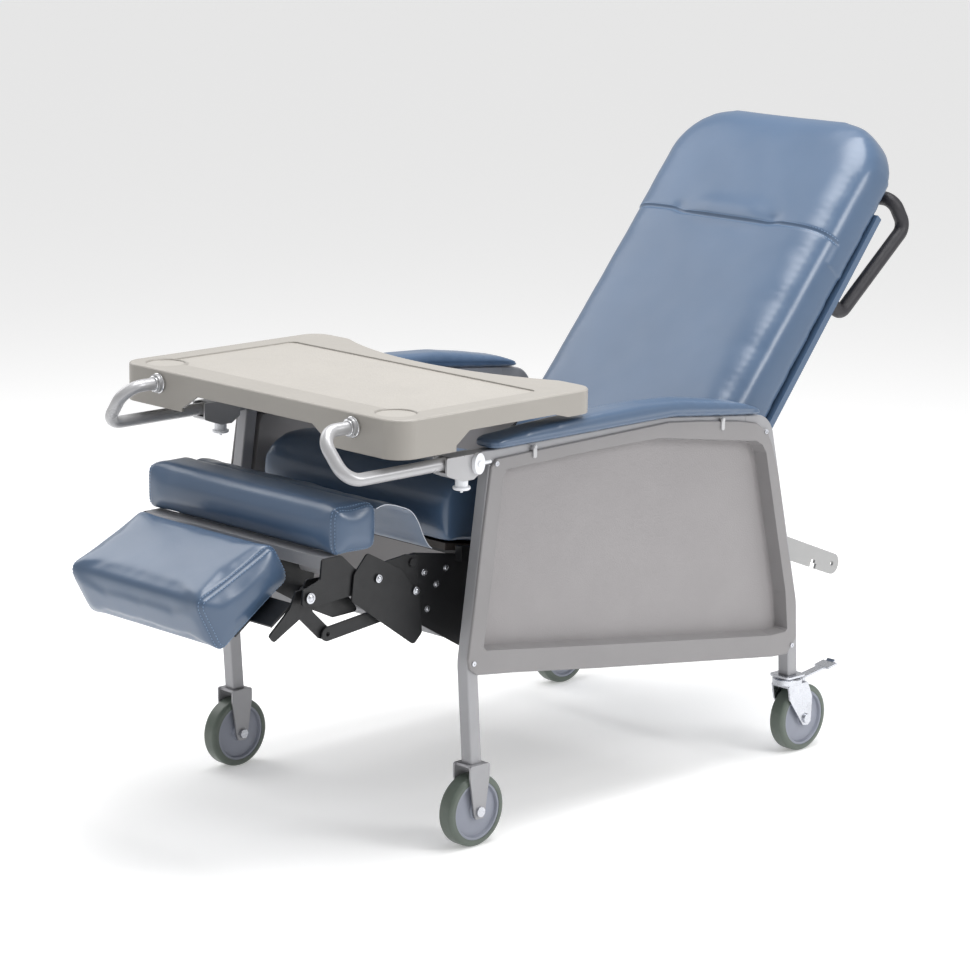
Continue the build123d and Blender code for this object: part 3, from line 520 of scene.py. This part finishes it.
def dress_frame() -> None:
    """Gives every carried-over solid the finish of its slot."""
    slots = {part["node"]: part["material_slot"] for part in frame["record"]["subparts"]}
    for name, node in frame["nodes"].items():
        node.data.materials.clear()
        look = Look.FRAME if name == "leg_crossbar" else SLOT_LOOKS[slots[name]]
        node.data.materials.append(look.material())


# ---- stitching ----------------------------------------------------------
@dataclass
class Thread:
    """A row of lockstitches laid on a surface."""

    pitch: float = 6.0 * MM
    length: float = 4.2 * MM
    radius: float = 0.65 * MM

    def sew(self, shape: Shape, line: Sequence[Spot]) -> None:
        """Adds one stitch at each pitch along a line.

        Args:
            shape: The bmesh that takes the stitches.
            line: Places along the seam, with the surface's normals.
        """
        walked, due = 0.0, self.pitch / 2
        for (here, out), (ahead, _) in zip(line, line[1:]):
            step = ahead - here
            while walked + step.length >= due and step.length > 0:
                at = here + step * ((due - walked) / step.length)
                along = step.normalized()
                across = out.cross(along).normalized()
                turn = Matrix((along, across, along.cross(across))).transposed().to_4x4()
                size = Matrix.Diagonal((self.length / 2, self.radius, self.radius, 1))
                lift = Matrix.Translation(at + out * self.radius / 2)
                bmesh.ops.create_uvsphere(shape, u_segments=6, v_segments=4, radius=1,
                                          matrix=lift @ turn @ size)
                due += self.pitch
            walked += step.length

    def rows(self, lines: Iterable[Sequence[Spot]], name: str, body: str) -> Piece:
        """Makes one piece of several rows of stitches.

        Args:
            lines: The rows.
            name: The piece's name.
            body: The body that it rides.
        Returns:
            The piece.
        """
        shape = bmesh.new()
        for line in lines:
            self.sew(shape, line)
        return dress(as_piece(shape, name), Look.THREAD, body)


# ---- upholstery ---------------------------------------------------------
@dataclass
class Pad:
    """A foam pad in a sewn vinyl cover, swollen by its filling and flat where it is carried."""

    name: str
    node: str
    body: str
    base: Vector                        # the way its carried side faces
    voxel: float = 5 * MM
    cap: float = 10 * MM                # how far the filling may push the cover
    fill: float = 0.8
    pressure: float = 4.0
    inset: float = 2 * MM               # how much smaller than its room it starts
    edge: float = 12 * MM
    ripple: float = 0.3 * MM            # slow unevenness of the cover
    calm: int = 6                       # passes that pull the taut cover smooth again
    finer: int = 1                      # subdivisions after the filling
    FRAMES: ClassVar[int] = 20
    FLAT: ClassVar[tuple[float, float]] = (0.3, 0.8)    # facing the base by this much, it is held
    STILL: ClassVar[tuple[float, float]] = (0.2, 0.6)   # and by this much, it doesn't ripple
    RIPPLES: ClassVar[float] = 22.0                     # per metre

    def block(self) -> Shape:
        """The pad's shape before its filling pushes it out."""
        raise NotImplementedError

    def relief(self, place: Vector, out: Vector) -> float:
        """How far seams and folds move the cover at a place, outwards."""
        return 0.0

    def seams(self, surface: BVHTree) -> list[Sequence[Spot]]:
        """The rows of stitches."""
        return []

    def swell(self, piece: Piece) -> None:
        """Blows the cover up from inside, as foam does, with its travel capped.

        Args:
            piece: The pad, whose mesh is replaced.
        """
        grid = piece.modifiers.new("even mesh", "REMESH")
        grid.mode, grid.voxel_size = "VOXEL", self.voxel
        settle(piece)
        start = [v.co.copy() for v in piece.data.vertices]
        facing = [v.normal.copy() for v in piece.data.vertices]
        cloth = piece.modifiers.new("cover", "CLOTH")
        cloth.settings.quality = 5
        cloth.settings.use_pressure = True
        cloth.settings.uniform_pressure_force = self.pressure
        cloth.settings.effector_weights.gravity = 0
        cloth.point_cache.frame_start, cloth.point_cache.frame_end = 1, self.FRAMES
        for step in range(1, self.FRAMES + 1):
            bpy.context.scene.frame_set(step)
        settle(piece)
        bpy.context.scene.frame_set(1)
        for vertex, origin, out in zip(piece.data.vertices, start, facing):
            travel = vertex.co - origin
            carried = fade(out.dot(self.base), *self.FLAT)
            travel -= self.base * max(travel.dot(self.base), 0) * carried
            if travel.length > self.cap:
                travel *= self.cap / travel.length
            vertex.co = origin + travel
        taut = bmesh.new()
        taut.from_mesh(piece.data)
        for _ in range(self.calm):
            bmesh.ops.smooth_vert(taut, verts=taut.verts, factor=0.5, use_axis_x=True,
                                  use_axis_y=True, use_axis_z=True)
        taut.to_mesh(piece.data)
        taut.free()

    def carve(self, piece: Piece) -> None:
        """Presses the seams and folds into the swollen cover.

        Args:
            piece: The pad, whose vertices are moved.
        """
        shape = bmesh.new()
        shape.from_mesh(piece.data)
        shape.normal_update()
        moves = []
        for vertex in shape.verts:
            free = 1 - fade(vertex.normal.dot(self.base), *self.STILL)
            slow = self.ripple * noise.noise(vertex.co * self.RIPPLES) * free
            moves.append(vertex.normal * (self.relief(vertex.co, vertex.normal) + slow))
        for vertex, move in zip(shape.verts, moves):
            vertex.co += move
        shape.to_mesh(piece.data)
        shape.free()

    def build(self) -> Piece:
        """Makes the pad and its stitching, and puts them on their body.

        Returns:
            The pad.
        """
        piece = as_piece(self.block(), self.name)
        self.swell(piece)
        finer = piece.modifiers.new("finer", "SUBSURF")
        finer.levels = finer.render_levels = self.finer
        settle(piece)
        self.carve(piece)
        surface = BVHTree.FromObject(piece, bpy.context.evaluated_depsgraph_get())
        dress(piece, Look.VINYL, self.body)
        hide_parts(self.node)
        lines = self.seams(surface)
        if lines:
            Thread().rows(lines, f"{self.name}_stitching", self.body)
        LOG.info("%s: %d faces, %d rows of stitches", self.name, len(piece.data.polygons),
                 len(lines))
        return piece


def girth(surface: BVHTree, across: float, centre: Vector, count: int = 240) -> list[Spot]:
    """Walks round a pad in the side view at one distance across it.

    Args:
        surface: The pad's surface.
        across: The x of the walk.
        centre: A point inside the pad.
        count: How many places to take.
    Returns:
        The places, closed on the first.
    """
    found = []
    for step in range(count + 1):
        angle = math.tau * step / count
        out = Vector((0, math.cos(angle), math.sin(angle)))
        start = Vector((across, centre.y, centre.z)) + out * OUTSIDE
        hit, normal, _, _ = surface.ray_cast(start, -out)
        if hit is not None:
            found.append((hit, normal))
    return found


@dataclass
class EndSeamedPad(Pad):
    """A boxed pad whose cover is joined by a stitched seam round each end."""

    outline: Outline = ()
    seam_in: float = 11 * MM            # from the end face to the seam
    row_gap: float = 3.2 * MM           # from the seam to each row of stitches
    corner_in: float = 1.4              # a corner starts this many insets in, both ways at once
    end_facing: float = 0.8             # facing outwards by more than this is the end face
    groove: Fold = Fold(-1.6 * MM, 0, 2.6 * MM)
    roll: Fold = Fold(0.5 * MM, 6 * MM, 3 * MM)

    def half(self) -> float:
        """Half the pad's width."""
        return room(self.node)[1].x

    def centre(self) -> Vector:
        """The middle of the side view."""
        ys, zs = zip(*self.outline)
        return Vector((0, sum(ys) / len(ys), sum(zs) / len(zs)))

    def block(self) -> Shape:
        """The outline, pulled across and rounded, a little smaller than its room."""
        middle = self.centre()
        shrunk = []
        for y, z in self.outline:
            inward = Vector((0, middle.y - y, middle.z - z)).normalized()
            inward = inward * self.inset * self.corner_in
            shrunk.append((y + inward.y, z + inward.z))
        shape = side_slab(shrunk, self.inset - self.half(), self.half() - self.inset)
        round_edges(shape, shape.edges[:], self.edge)
        return shape

    def relief(self, place: Vector, out: Vector) -> float:
        """A groove at the seam and a slight roll either side of it."""
        if abs(out.x) > self.end_facing:
            return 0.0
        off = abs(place.x) - (self.half() - self.seam_in)
        return self.groove.rise(off) + self.roll.rise(abs(off))

    def seams(self, surface: BVHTree) -> list[Sequence[Spot]]:
        """Two rows round each end."""
        places = [self.half() - self.seam_in + side * self.row_gap for side in (-1, 1)]
        return [girth(surface, hand * x, self.centre()) for x in places for hand in (1, -1)]

@dataclass
class SeatCushion(Pad):
    """The seat: a crowned slab with a deep rounded front."""

    outline: Outline = ()
    front_round: float = 46 * MM
    side_round: float = 26 * MM
    front_edge: tuple[float, float] = (-0.3, 0.55)      # the roll lies before this y, above this z
    under: float = 0.5                                  # the underside lies below this z

    def block(self) -> Shape:
        """The side view pulled across, with a broad roll along the front.

        Returns:
            A closed bmesh.
        """
        half = room(self.node)[1].x - self.inset
        shape = side_slab(self.outline, -half, half)
        before, above = self.front_edge
        front = [e for e in shape.edges if e.calc_length() > half
                 and min(v.co.z for v in e.verts) > above and e.verts[0].co.y < before]
        round_edges(shape, front, self.front_round, 8)
        sides = [e for e in shape.edges if reach(e, 0) < SAME
                 and not all(v.co.z < self.under and v.normal.z < 0 for v in e.verts)]
        round_edges(shape, sides, self.side_round, 5)
        return shape


@dataclass
class BackCushion(Pad):
    """The back: a long crowned pad with broad top corners, and a sewn cover over its head end."""

    tilt: float = math.radians(49.5)
    hinge_depth: float = 44 * MM        # of the hinge behind the front face
    low: float = -50 * MM               # bottom end, along the back from the hinge
    length: float = 812 * MM
    thick_low: float = 114 * MM
    thick_high: float = 94 * MM
    corner: float = 120 * MM            # rounding of the top corners
    front_round: float = 44 * MM
    rear_round: float = 7 * MM
    turn: tuple[float, float] = (34 * MM, 52 * MM)      # depths where the front becomes the side
    cover_at: float = 545 * MM          # where the head cover's seam crosses the front
    cover_hang: float = 46 * MM         # how much lower the cover ends at the sides
    cover_thick: float = 2.2 * MM
    seam_dip: float = 5 * MM            # how much lower the seam's raised middle is
    pleat_half: float = 118 * MM        # half the width of the raised middle of the seam
    row_gap: float = 4.2 * MM           # from the seam to each row of stitches
    before: float = -0.2                # a depth in front of all of the pad
    groove: Fold = Fold(-2.6 * MM, 0, 3.6 * MM)
    pleat: tuple[Fold, Fold] = (Fold(4.6 * MM, 22 * MM, 24 * MM),
                                Fold(-1.4 * MM, -16 * MM, 20 * MM))
    tuck: Fold = Fold(-3.0 * MM, 8 * MM, 12 * MM)       # at each end of the raised middle
    tuck_across: float = 16 * MM
    gather: Fold = Fold(0.0786 * MM, 0, 60 * MM)        # small puckers beside the seam
    gather_pitch: float = 13 * MM
    ROW_STEPS: ClassVar[int] = 200

    def hinge(self) -> Vector:
        """The back's hinge line at the middle of the chair."""
        place = joint_place("back_recline")
        return Vector((0, place.y, place.z))

    def place(self, x: float, along: float, depth: float) -> Vector:
        """A point of the chair.

        Args:
            x: Distance across.
            along: Distance up the back from the hinge.
            depth: Distance into it from its front.
        Returns:
            The point.
        """
        rise = self.hinge_depth - depth
        y = along * math.cos(self.tilt) - rise * math.sin(self.tilt)
        z = along * math.sin(self.tilt) + rise * math.cos(self.tilt)
        return self.hinge() + Vector((x, y, z))

    def measure(self, point: Vector) -> tuple[float, float]:
        """How far along and how deep in the back a point is."""
        rel = point - self.hinge()
        along = rel.y * math.cos(self.tilt) + rel.z * math.sin(self.tilt)
        rise = -rel.y * math.sin(self.tilt) + rel.z * math.cos(self.tilt)
        return along, self.hinge_depth - rise

    def thick(self, along: float) -> float:
        """Thickness of the pad at a distance up it."""
        share = (along - self.low) / (self.length - self.low)
        return self.thick_low + share * (self.thick_high - self.thick_low)

    def rims(self, shape: Shape, side: int) -> list[bmesh.types.BMEdge]:
        """Edges where the front (-1) or the rear (1) face meets the sides."""
        return [e for e in shape.edges if all(v.co.z * side > 0 for v in e.verts)
                and any(abs(f.normal.z) > 0.9 for f in e.link_faces)
                and any(abs(f.normal.z) < 0.1 for f in e.link_faces)]

    def block(self) -> Shape:
        """A rounded box in the back's own axes, tapered and then leaned back.

        Returns:
            A closed bmesh.
        """
        half = room(self.node)[1].x - self.inset
        shape = bmesh.new()
        bmesh.ops.create_cube(shape, size=1.0)
        bmesh.ops.scale(shape, vec=(2 * half, self.length - self.low - 2 * self.inset, 1),
                        verts=shape.verts)
        bmesh.ops.scale(shape, vec=(1, 1, self.thick_low), verts=shape.verts)
        tall = [e for e in shape.edges if all(v.co.y > 0 for v in e.verts)
                and reach(e, 0) < SAME]
        round_edges(shape, tall, self.corner, 14)
        round_edges(shape, self.rims(shape, -1), self.front_round, 8)
        round_edges(shape, self.rims(shape, 1), self.rear_round, 3)
        middle = (self.low + self.length) / 2
        for vertex in shape.verts:
            along = middle + vertex.co.y
            share = vertex.co.z / self.thick_low + 0.5
            depth = self.inset + share * (self.thick(along) - self.inset)
            vertex.co = self.place(vertex.co.x, along, depth)
        bmesh.ops.recalc_face_normals(shape, faces=shape.faces)
        return shape

    def seam_at(self, x: float) -> float:
        """How far up the back the cover's seam is at a distance across."""
        middle = 1 - fade(abs(x), self.pleat_half * 0.85, self.pleat_half * 1.15)
        return self.cover_at - self.seam_dip * middle

    def relief(self, place: Vector, out: Vector) -> float:
        """The cover's thickness, its seam, and the pleat pulled up over the middle of it.

        Args:
            place: Where on the cover.
            out: The way that it faces there; not used.
        Returns:
            How far it moves outwards.
        """
        along, depth = self.measure(place)
        front = 1 - fade(depth, *self.turn)
        off = along - self.seam_at(place.x)
        lower = along - (self.cover_at - self.cover_hang)
        step = front * fade(off, -3 * MM, 3 * MM) + (1 - front) * fade(lower, -2 * MM, 2 * MM)
        middle = 1 - fade(abs(place.x), self.pleat_half * 0.35, self.pleat_half)
        pleat = sum(fold.rise(off) for fold in self.pleat)
        tuck = self.tuck.rise(off) * hump(abs(place.x) - self.pleat_half, self.tuck_across)
        near = 1 - fade(abs(off), 0, self.gather.width)
        gather = self.gather.rise(off) * math.sin(place.x / self.gather_pitch) * near
        return self.cover_thick * step + front * (
            middle * pleat + tuck + self.groove.rise(off) + gather)

    def seams(self, surface: BVHTree) -> list[Sequence[Spot]]:
        """Two rows across the front, one each side of the seam.

        Args:
            surface: The pad's surface.
        Returns:
            The rows.
        """
        half = room(self.node)[1].x
        inward = (self.place(0, 0, 1) - self.place(0, 0, 0)).normalized()
        rows = []
        for offset in (-self.row_gap, self.row_gap):
            row = []
            for step in range(self.ROW_STEPS + 1):
                x = -half + 2 * half * step / self.ROW_STEPS
                start = self.place(x, self.seam_at(x) + offset, self.before)
                hit, normal, _, _ = surface.ray_cast(start, inward)
                if hit is not None:
                    row.append((hit, normal))
            rows.append(row)
        return rows


@dataclass
class ArmPad(Pad):
    """A long arm rest, rounded over its top and drawn in to blunt ends."""

    outline: Outline = ()
    end_round: float = 24 * MM
    top_round: float = 13 * MM
    lower_round: float = 5 * MM
    seam: Fold = Fold(-1.3 * MM, 9 * MM, 1.8 * MM)      # its height is above the rail
    top_facing: float = 0.8             # facing up by more than this is the top
    UNDERSIDE: ClassVar[int] = 4        # how many points of the outline lie on the rail

    def block(self) -> Shape:
        """The side view pulled across, with rounded ends, top and bottom.

        Returns:
            A closed bmesh.
        """
        low, high = room(self.node)
        shape = side_slab(self.outline, low.x + self.inset, high.x - self.inset)
        ends = [e for e in shape.edges if reach(e, 0) < SAME and reach(e, 2) > reach(e, 1)]
        round_edges(shape, ends, self.end_round, 6)
        lower = [e for e in shape.edges if e.is_manifold
                 and min(f.normal.z for f in e.link_faces) < -0.9]
        round_edges(shape, lower, self.lower_round, 3)
        upper = [e for e in shape.edges if e.is_manifold
                 and max(f.normal.z for f in e.link_faces) > self.top_facing
                 and min(abs(f.normal.z) for f in e.link_faces) < 0.4]
        round_edges(shape, upper, self.top_round, 5)
        return shape

    def under(self, y: float) -> float:
        """Height of the rail's top at y."""
        points = sorted(self.outline[:self.UNDERSIDE])
        for (y0, z0), (y1, z1) in zip(points, points[1:]):
            if y <= y1:
                return z0 + (z1 - z0) * max(y - y0, 0) / (y1 - y0)
        return points[-1][1]

    def relief(self, place: Vector, out: Vector) -> float:
        """The seam that joins the top cover to its skirt."""
        up = place.z - self.under(place.y)
        return self.seam.rise(up) if out.z < self.top_facing else 0.0


# ---- apron between the calf pad and the seat ----------------------------
@dataclass
class Apron:
    """A sheet of vinyl that hides the linkage, slack between the calf pad and the seat."""

    sheet: float = 1.4 * MM
    line: Outline = ((-0.5195, 0.6005), (-0.498, 0.6045), (-0.468, 0.5975), (-0.441, 0.5850),
                     (-0.424, 0.5640), (-0.412, 0.5390), (-0.4000, 0.5200), (-0.3915, 0.5125))
    segments: tuple[int, int] = (72, 36)
    slack: float = 4.5 * MM             # how deep the slow folds are
    slack_turns: tuple[float, float] = (3.1, 1.3)       # across the chair and along the sheet
    flute: float = 1.2 * MM             # how deep the even flutes are
    flute_turns: tuple[float, float] = (23, 2)
    drift: tuple[float, float] = (-0.45, 0.8)           # the way a fold moves, in y and z
    steps: int = 60

    def spot(self, share: float) -> Vector:
        """A point of the sheet's side view, from 0 at the calf pad to 1 at the seat."""
        at = share * (len(self.line) - 1)
        first = min(int(at), len(self.line) - 2)
        part = at - first
        ring = [self.line[min(max(first + k, 0), len(self.line) - 1)] for k in (-1, 0, 1, 2)]
        a, b, c, d = (Vector((0, y, z)) for y, z in ring)
        return 0.5 * ((2 * b) + (c - a) * part + (2 * a - 5 * b + 4 * c - d) * part ** 2
                      + (3 * b - a - 3 * c + d) * part ** 3)

    def build(self) -> Piece:
        """Drapes a grid along the side view, with slack folds, and thickens it.

        Returns:
            The apron.
        """
        half = room("vinyl_flap")[1].x
        shape = bmesh.new()
        bmesh.ops.create_grid(shape, x_segments=self.segments[0], y_segments=self.segments[1],
                              size=1.0)
        for vertex in shape.verts:
            across, share = vertex.co.x, (vertex.co.y + 1) / 2
            free = math.sin(math.pi * share)
            wide, long = self.slack_turns
            fold = noise.noise(Vector((across * wide, share * long, 2.0)))
            wide, long = self.flute_turns
            sag = -self.slack * free * fold + self.flute * free * math.sin(
                across * wide + share * long)
            vertex.co = self.spot(share) + Vector(
                (across * half, sag * self.drift[0], sag * self.drift[1]))
        bmesh.ops.recalc_face_normals(shape, faces=shape.faces)
        bmesh.ops.solidify(shape, geom=shape.faces[:], thickness=self.sheet)
        bmesh.ops.recalc_face_normals(shape, faces=shape.faces)
        piece = as_piece(shape, "apron", 60)
        dress(piece, Look.VINYL)
        piece.data.materials.append(Look.CUT_EDGE.material())
        for face in piece.data.polygons:
            if abs(face.normal.x) > 0.8:
                face.material_index = 1
        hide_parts("vinyl_flap")
        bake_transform(piece)
        return piece


# ---- small metal pieces -------------------------------------------------
@dataclass
class Ferrule:
    """Stepped chrome sleeve where a tray tube enters the tray."""

    radius: float = 11 * MM
    slip: float = 0.2 * MM              # between the tube and the sleeve
    sunk: float = 0.4 * MM              # into the tray's front
    across: float = 0.252
    up: float = 0.748
    STEPS: ClassVar[Outline] = (
        (0.2, 0), (0.2, 6.6), (3.4, 6.6), (4.2, 5.8), (4.2, 4.2), (8.6, 4.2), (9.4, 3.4),
        (9.4, 2.6), (13.4, 2.6), (14.2, 1.8), (14.2, 0), (0.2, 0))      # along and out, in mm

    def build(self) -> Piece:
        """One sleeve on each tube."""
        front = room("tray_top")[0].y - self.sunk
        profile = [(along * MM, self.radius + self.slip + out * MM) for along, out in self.STEPS]
        shapes = [lathe(profile, Vector((hand * self.across, front, self.up)),
                        Vector((0, -1, 0))) for hand in (1, -1)]
        return dress(as_piece(joined(shapes), "tray_ferrules", 30), Look.CHROME,
                     "tray")


@dataclass
class CupRing:
    """Raised lip round each cup place on the tray."""

    inner: float = 34 * MM              # radius where the lip starts to rise
    lip: float = 2.2 * MM
    field_depth: float = 2.5 * MM       # of the field below the rim
    from_side: float = 62 * MM
    from_front: float = 52 * MM
    SECTION: ClassVar[Outline] = (
        (0, 0.0), (0.5, 0.75), (1.4, 1.0), (2.6, 1.0), (4.4, 0.55), (6.5, 0.12), (7.0, 0.0),
    )                                   # out in mm, and the share of the lip's height

    def build(self) -> Piece:
        """One ring near each front corner."""
        low, high = room("tray_top")
        profile = [(share * self.lip, self.inner + out * MM) for out, share in self.SECTION]
        profile.append(profile[0])
        shapes = [lathe(profile, Vector((hand * (high.x - self.from_side),
                                         low.y + self.from_front, high.z - self.field_depth)),
                        UP, 64) for hand in (1, -1)]
        return dress(as_piece(joined(shapes), "cup_rings", 50), Look.CUP, "tray")


@dataclass
class Bolt:
    """Domed bolt heads with washers, at places on one side and their mirrors."""

    name: str
    body: str
    head: float
    places: Sequence[Vector]
    rise: float = 3.2 * MM
    WASHER: ClassVar[Outline] = ((0, 0), (0, 1.55), (0.8, 1.55), (1, 1.45), (1, 1))
    DOME: ClassVar[Outline] = ((0.6, 0.93), (0.85, 0.72), (1, 0.42), (1, 0))

    def build(self) -> Piece:
        """Turns a head at each place and its mirror, facing outwards.

        Returns:
            The heads as one piece.
        """
        washer = [(along * MM, self.head * out) for along, out in self.WASHER]
        dome = [(self.rise * along, self.head * out) for along, out in self.DOME]
        heads = [lathe(washer + dome, Vector((hand * place.x, place.y, place.z)),
                       Vector((hand, 0, 0)), 20) for place in self.places for hand in (1, -1)]
        return dress(as_piece(joined(heads), self.name, 30), Look.ZINC, self.body)


GUARD_BOLTS: Outline = ((-0.515, 0.480), (-0.430, 0.445))
BASE_BOLTS: Outline = ((-0.400, 0.470), (-0.372, 0.445), (-0.350, 0.470), (-0.392, 0.405))
BASE_SUNK = 9 * MM                      # of the base plates' bolts behind the pins' ends


def build_bolts() -> None:
    """Puts bright bolt heads on the leg rest's plates."""
    guard, arm = room("guard_plates")[1].x, room("leg_arms")[1].x
    base = room("mech_plates")[1].x - BASE_SUNK
    foot = joint_place("foot_turn")
    Bolt("guard_bolts", "leg_arm", 4.6 * MM, [Vector((guard, *at)) for at in GUARD_BOLTS]).build()
    Bolt("foot_bolts", "leg_arm", 6.0 * MM, [Vector((arm, foot.y, foot.z))]).build()
    Bolt("base_bolts", "frame", 4.0 * MM, [Vector((base, *at)) for at in BASE_BOLTS]).build()


# ---- studio -------------------------------------------------------------
@dataclass(frozen=True)
class SoftBox:
    """A square area light."""

    name: str
    place: tuple[float, float, float]
    aim: tuple[float, float, float]
    size: float
    power: float

    def hang(self) -> None:
        """Adds the light to the scene."""
        data = bpy.data.lights.new(self.name, "AREA")
        data.shape, data.size, data.energy = "SQUARE", self.size, self.power
        lamp = bpy.data.objects.new(self.name, data)
        bpy.context.scene.collection.objects.link(lamp)
        lamp.location = self.place
        facing = Vector(self.aim) - Vector(self.place)
        lamp.rotation_euler = facing.to_track_quat("-Z", "Y").to_euler()


@dataclass
class Studio:
    """White sweep, soft boxes and the camera."""

    azimuth: float = 45.74
    elevation: float = 12.435
    roll: float = 0.73
    distance: float = 6.1486
    lens: float = 126.3
    sensor: float = 36.0
    clip_end: float = 60.0
    shift_right: float = -10.18 * MM
    shift_up: float = -71.33 * MM
    aim: tuple[float, float, float] = (0.0, -0.022, 0.6)
    floor_size: float = 30.0
    floor_glow: float = 0.27
    ambient: float = 0.58
    boxes: tuple[SoftBox, ...] = (
        SoftBox("overhead", (0.2, 0.2, 3.2), (0, -0.1, 0.5), 2.2, 95),
        SoftBox("window_left", (-2.3, -0.5, 2.3), (0, 0, 0.6), 1.9, 22),
        SoftBox("strip_right", (2.8, 1.0, 1.9), (0, 0.2, 0.7), 1.1, 34),
    )

    def camera(self) -> None:
        """Places the camera."""
        a, e, r = (math.radians(v) for v in (self.azimuth, self.elevation, self.roll))
        back = Vector((math.sin(a) * math.cos(e), -math.cos(a) * math.cos(e), math.sin(e)))
        level = Vector((math.cos(a), math.sin(a), 0))
        upright = back.cross(level)
        right = math.cos(r) * level + math.sin(r) * upright
        up = math.cos(r) * upright - math.sin(r) * level
        aim = Vector(self.aim) + self.shift_right * right + self.shift_up * up
        data = bpy.data.cameras.new("view")
        data.lens, data.sensor_width = self.lens, self.sensor
        data.clip_end = self.clip_end
        eye = bpy.data.objects.new("view", data)
        bpy.context.scene.collection.objects.link(eye)
        eye.matrix_world = Matrix.Translation(aim + back * self.distance) @ Matrix(
            (right, up, back)).transposed().to_4x4()
        bpy.context.scene.camera = eye

    def build(self) -> None:
        """Makes the floor, the lights and the camera."""
        shape = bmesh.new()
        bmesh.ops.create_grid(shape, x_segments=1, y_segments=1, size=self.floor_size)
        floor = as_piece(shape, "floor", None)
        sweep = bpy.data.materials.new("matt white sweep")
        sweep.use_nodes = True
        paint = sweep.node_tree.nodes["Principled BSDF"]
        paint.inputs["Base Color"].default_value = linear("#F2F2F2")
        paint.inputs["Roughness"].default_value = 0.9
        paint.inputs["Emission Color"].default_value = linear("#FFFFFF")
        paint.inputs["Emission Strength"].default_value = self.floor_glow
        floor.data.materials.append(sweep)
        world = bpy.data.worlds.new("studio")
        bpy.context.scene.world = world
        world.use_nodes = True
        sky = world.node_tree.nodes["Background"]
        sky.inputs["Color"].default_value = linear("#FFFFFF")
        sky.inputs["Strength"].default_value = self.ambient
        for box in self.boxes:
            box.hang()
        self.camera()
        bpy.context.scene.view_settings.view_transform = "Standard"


SEAT_SLOPE = math.radians(-9.5)         # of the seat, falling to the rear
SEAT_FRONT = 0.517                      # height of the seat's underside at its front
FOOT_BASE = Vector((0, 0.568, -0.823))  # the way the foot pad's underside faces
FOOT_SIDE: Outline = ((-0.682, 0.559), (-0.852, 0.480), (-0.798, 0.382), (-0.643, 0.489))
ARM_SIDE: Outline = (
    (-0.350, 0.6888), (0.095, 0.6888), (0.300, 0.6655), (0.340, 0.6615), (0.338, 0.669),
    (0.285, 0.687), (0.204, 0.702), (0.125, 0.714), (0.022, 0.720), (-0.078, 0.719),
    (-0.224, 0.714), (-0.349, 0.703))


def seat_side() -> Outline:
    """The seat's side view, from the underside at the front, round by the rear and the top."""
    low, high = room("seat_cushion")
    rear = high.y - 6 * MM
    fall = (high.y - low.y) * math.tan(SEAT_SLOPE)
    return ((low.y + 18 * MM, SEAT_FRONT + 1 * MM), (rear, SEAT_FRONT + fall + 1 * MM),
            (rear, SEAT_FRONT + fall + 96 * MM), (low.y + 110 * MM, SEAT_FRONT + 114 * MM),
            (low.y + 44 * MM, SEAT_FRONT + 112 * MM), (low.y + 6 * MM, SEAT_FRONT + 70 * MM))


def build_upholstery() -> None:
    """Makes every pad and the apron."""
    slope, tilt = SEAT_SLOPE, BackCushion.tilt
    SeatCushion(
        name="seat_pad", node="seat_cushion", body="frame", fill=0.7, outline=seat_side(),
        base=Vector((0, math.sin(slope), -math.cos(slope))), voxel=11 * MM, cap=9 * MM,
        inset=5 * MM, calm=4, finer=2,
    ).build()
    BackCushion(
        name="back_pad", node="back_cushion", body="back", fill=0.8,
        base=Vector((0, math.sin(tilt), -math.cos(tilt))), voxel=11 * MM, cap=7 * MM,
        inset=4 * MM, calm=4, finer=2,
    ).build()
    low, high = room("upper_pad")
    EndSeamedPad(
        name="calf_pad", node="upper_pad", body="leg_arm", fill=0.9, base=DOWN, cap=3.5 * MM,
        inset=1 * MM, edge=12 * MM,
        outline=((low.y, low.z), (high.y, low.z), (high.y, high.z), (low.y, high.z)),
    ).build()
    EndSeamedPad(
        name="foot_rest_pad", node="foot_pad", body="foot", fill=0.9, base=FOOT_BASE,
        cap=4 * MM, inset=1 * MM, edge=15 * MM, outline=FOOT_SIDE,
    ).build()
    for side in ("left", "right"):
        ArmPad(
            name=f"arm_rest_{side}", node=f"arm_pad_{side}", body="frame", fill=0.9, base=DOWN,
            voxel=5 * MM, cap=2 * MM, inset=1.5 * MM, ripple=0.2 * MM, outline=ARM_SIDE,
        ).build()
    Apron().build()


def main() -> None:
    """Builds the chair's visible pieces over the frame, then the studio."""
    logging.basicConfig(level=logging.INFO, format="%(name)s: %(message)s")
    dress_frame()
    build_upholstery()
    Ferrule().build()
    CupRing().build()
    build_bolts()
    Studio().build()


if __name__ == "__main__":
    main()
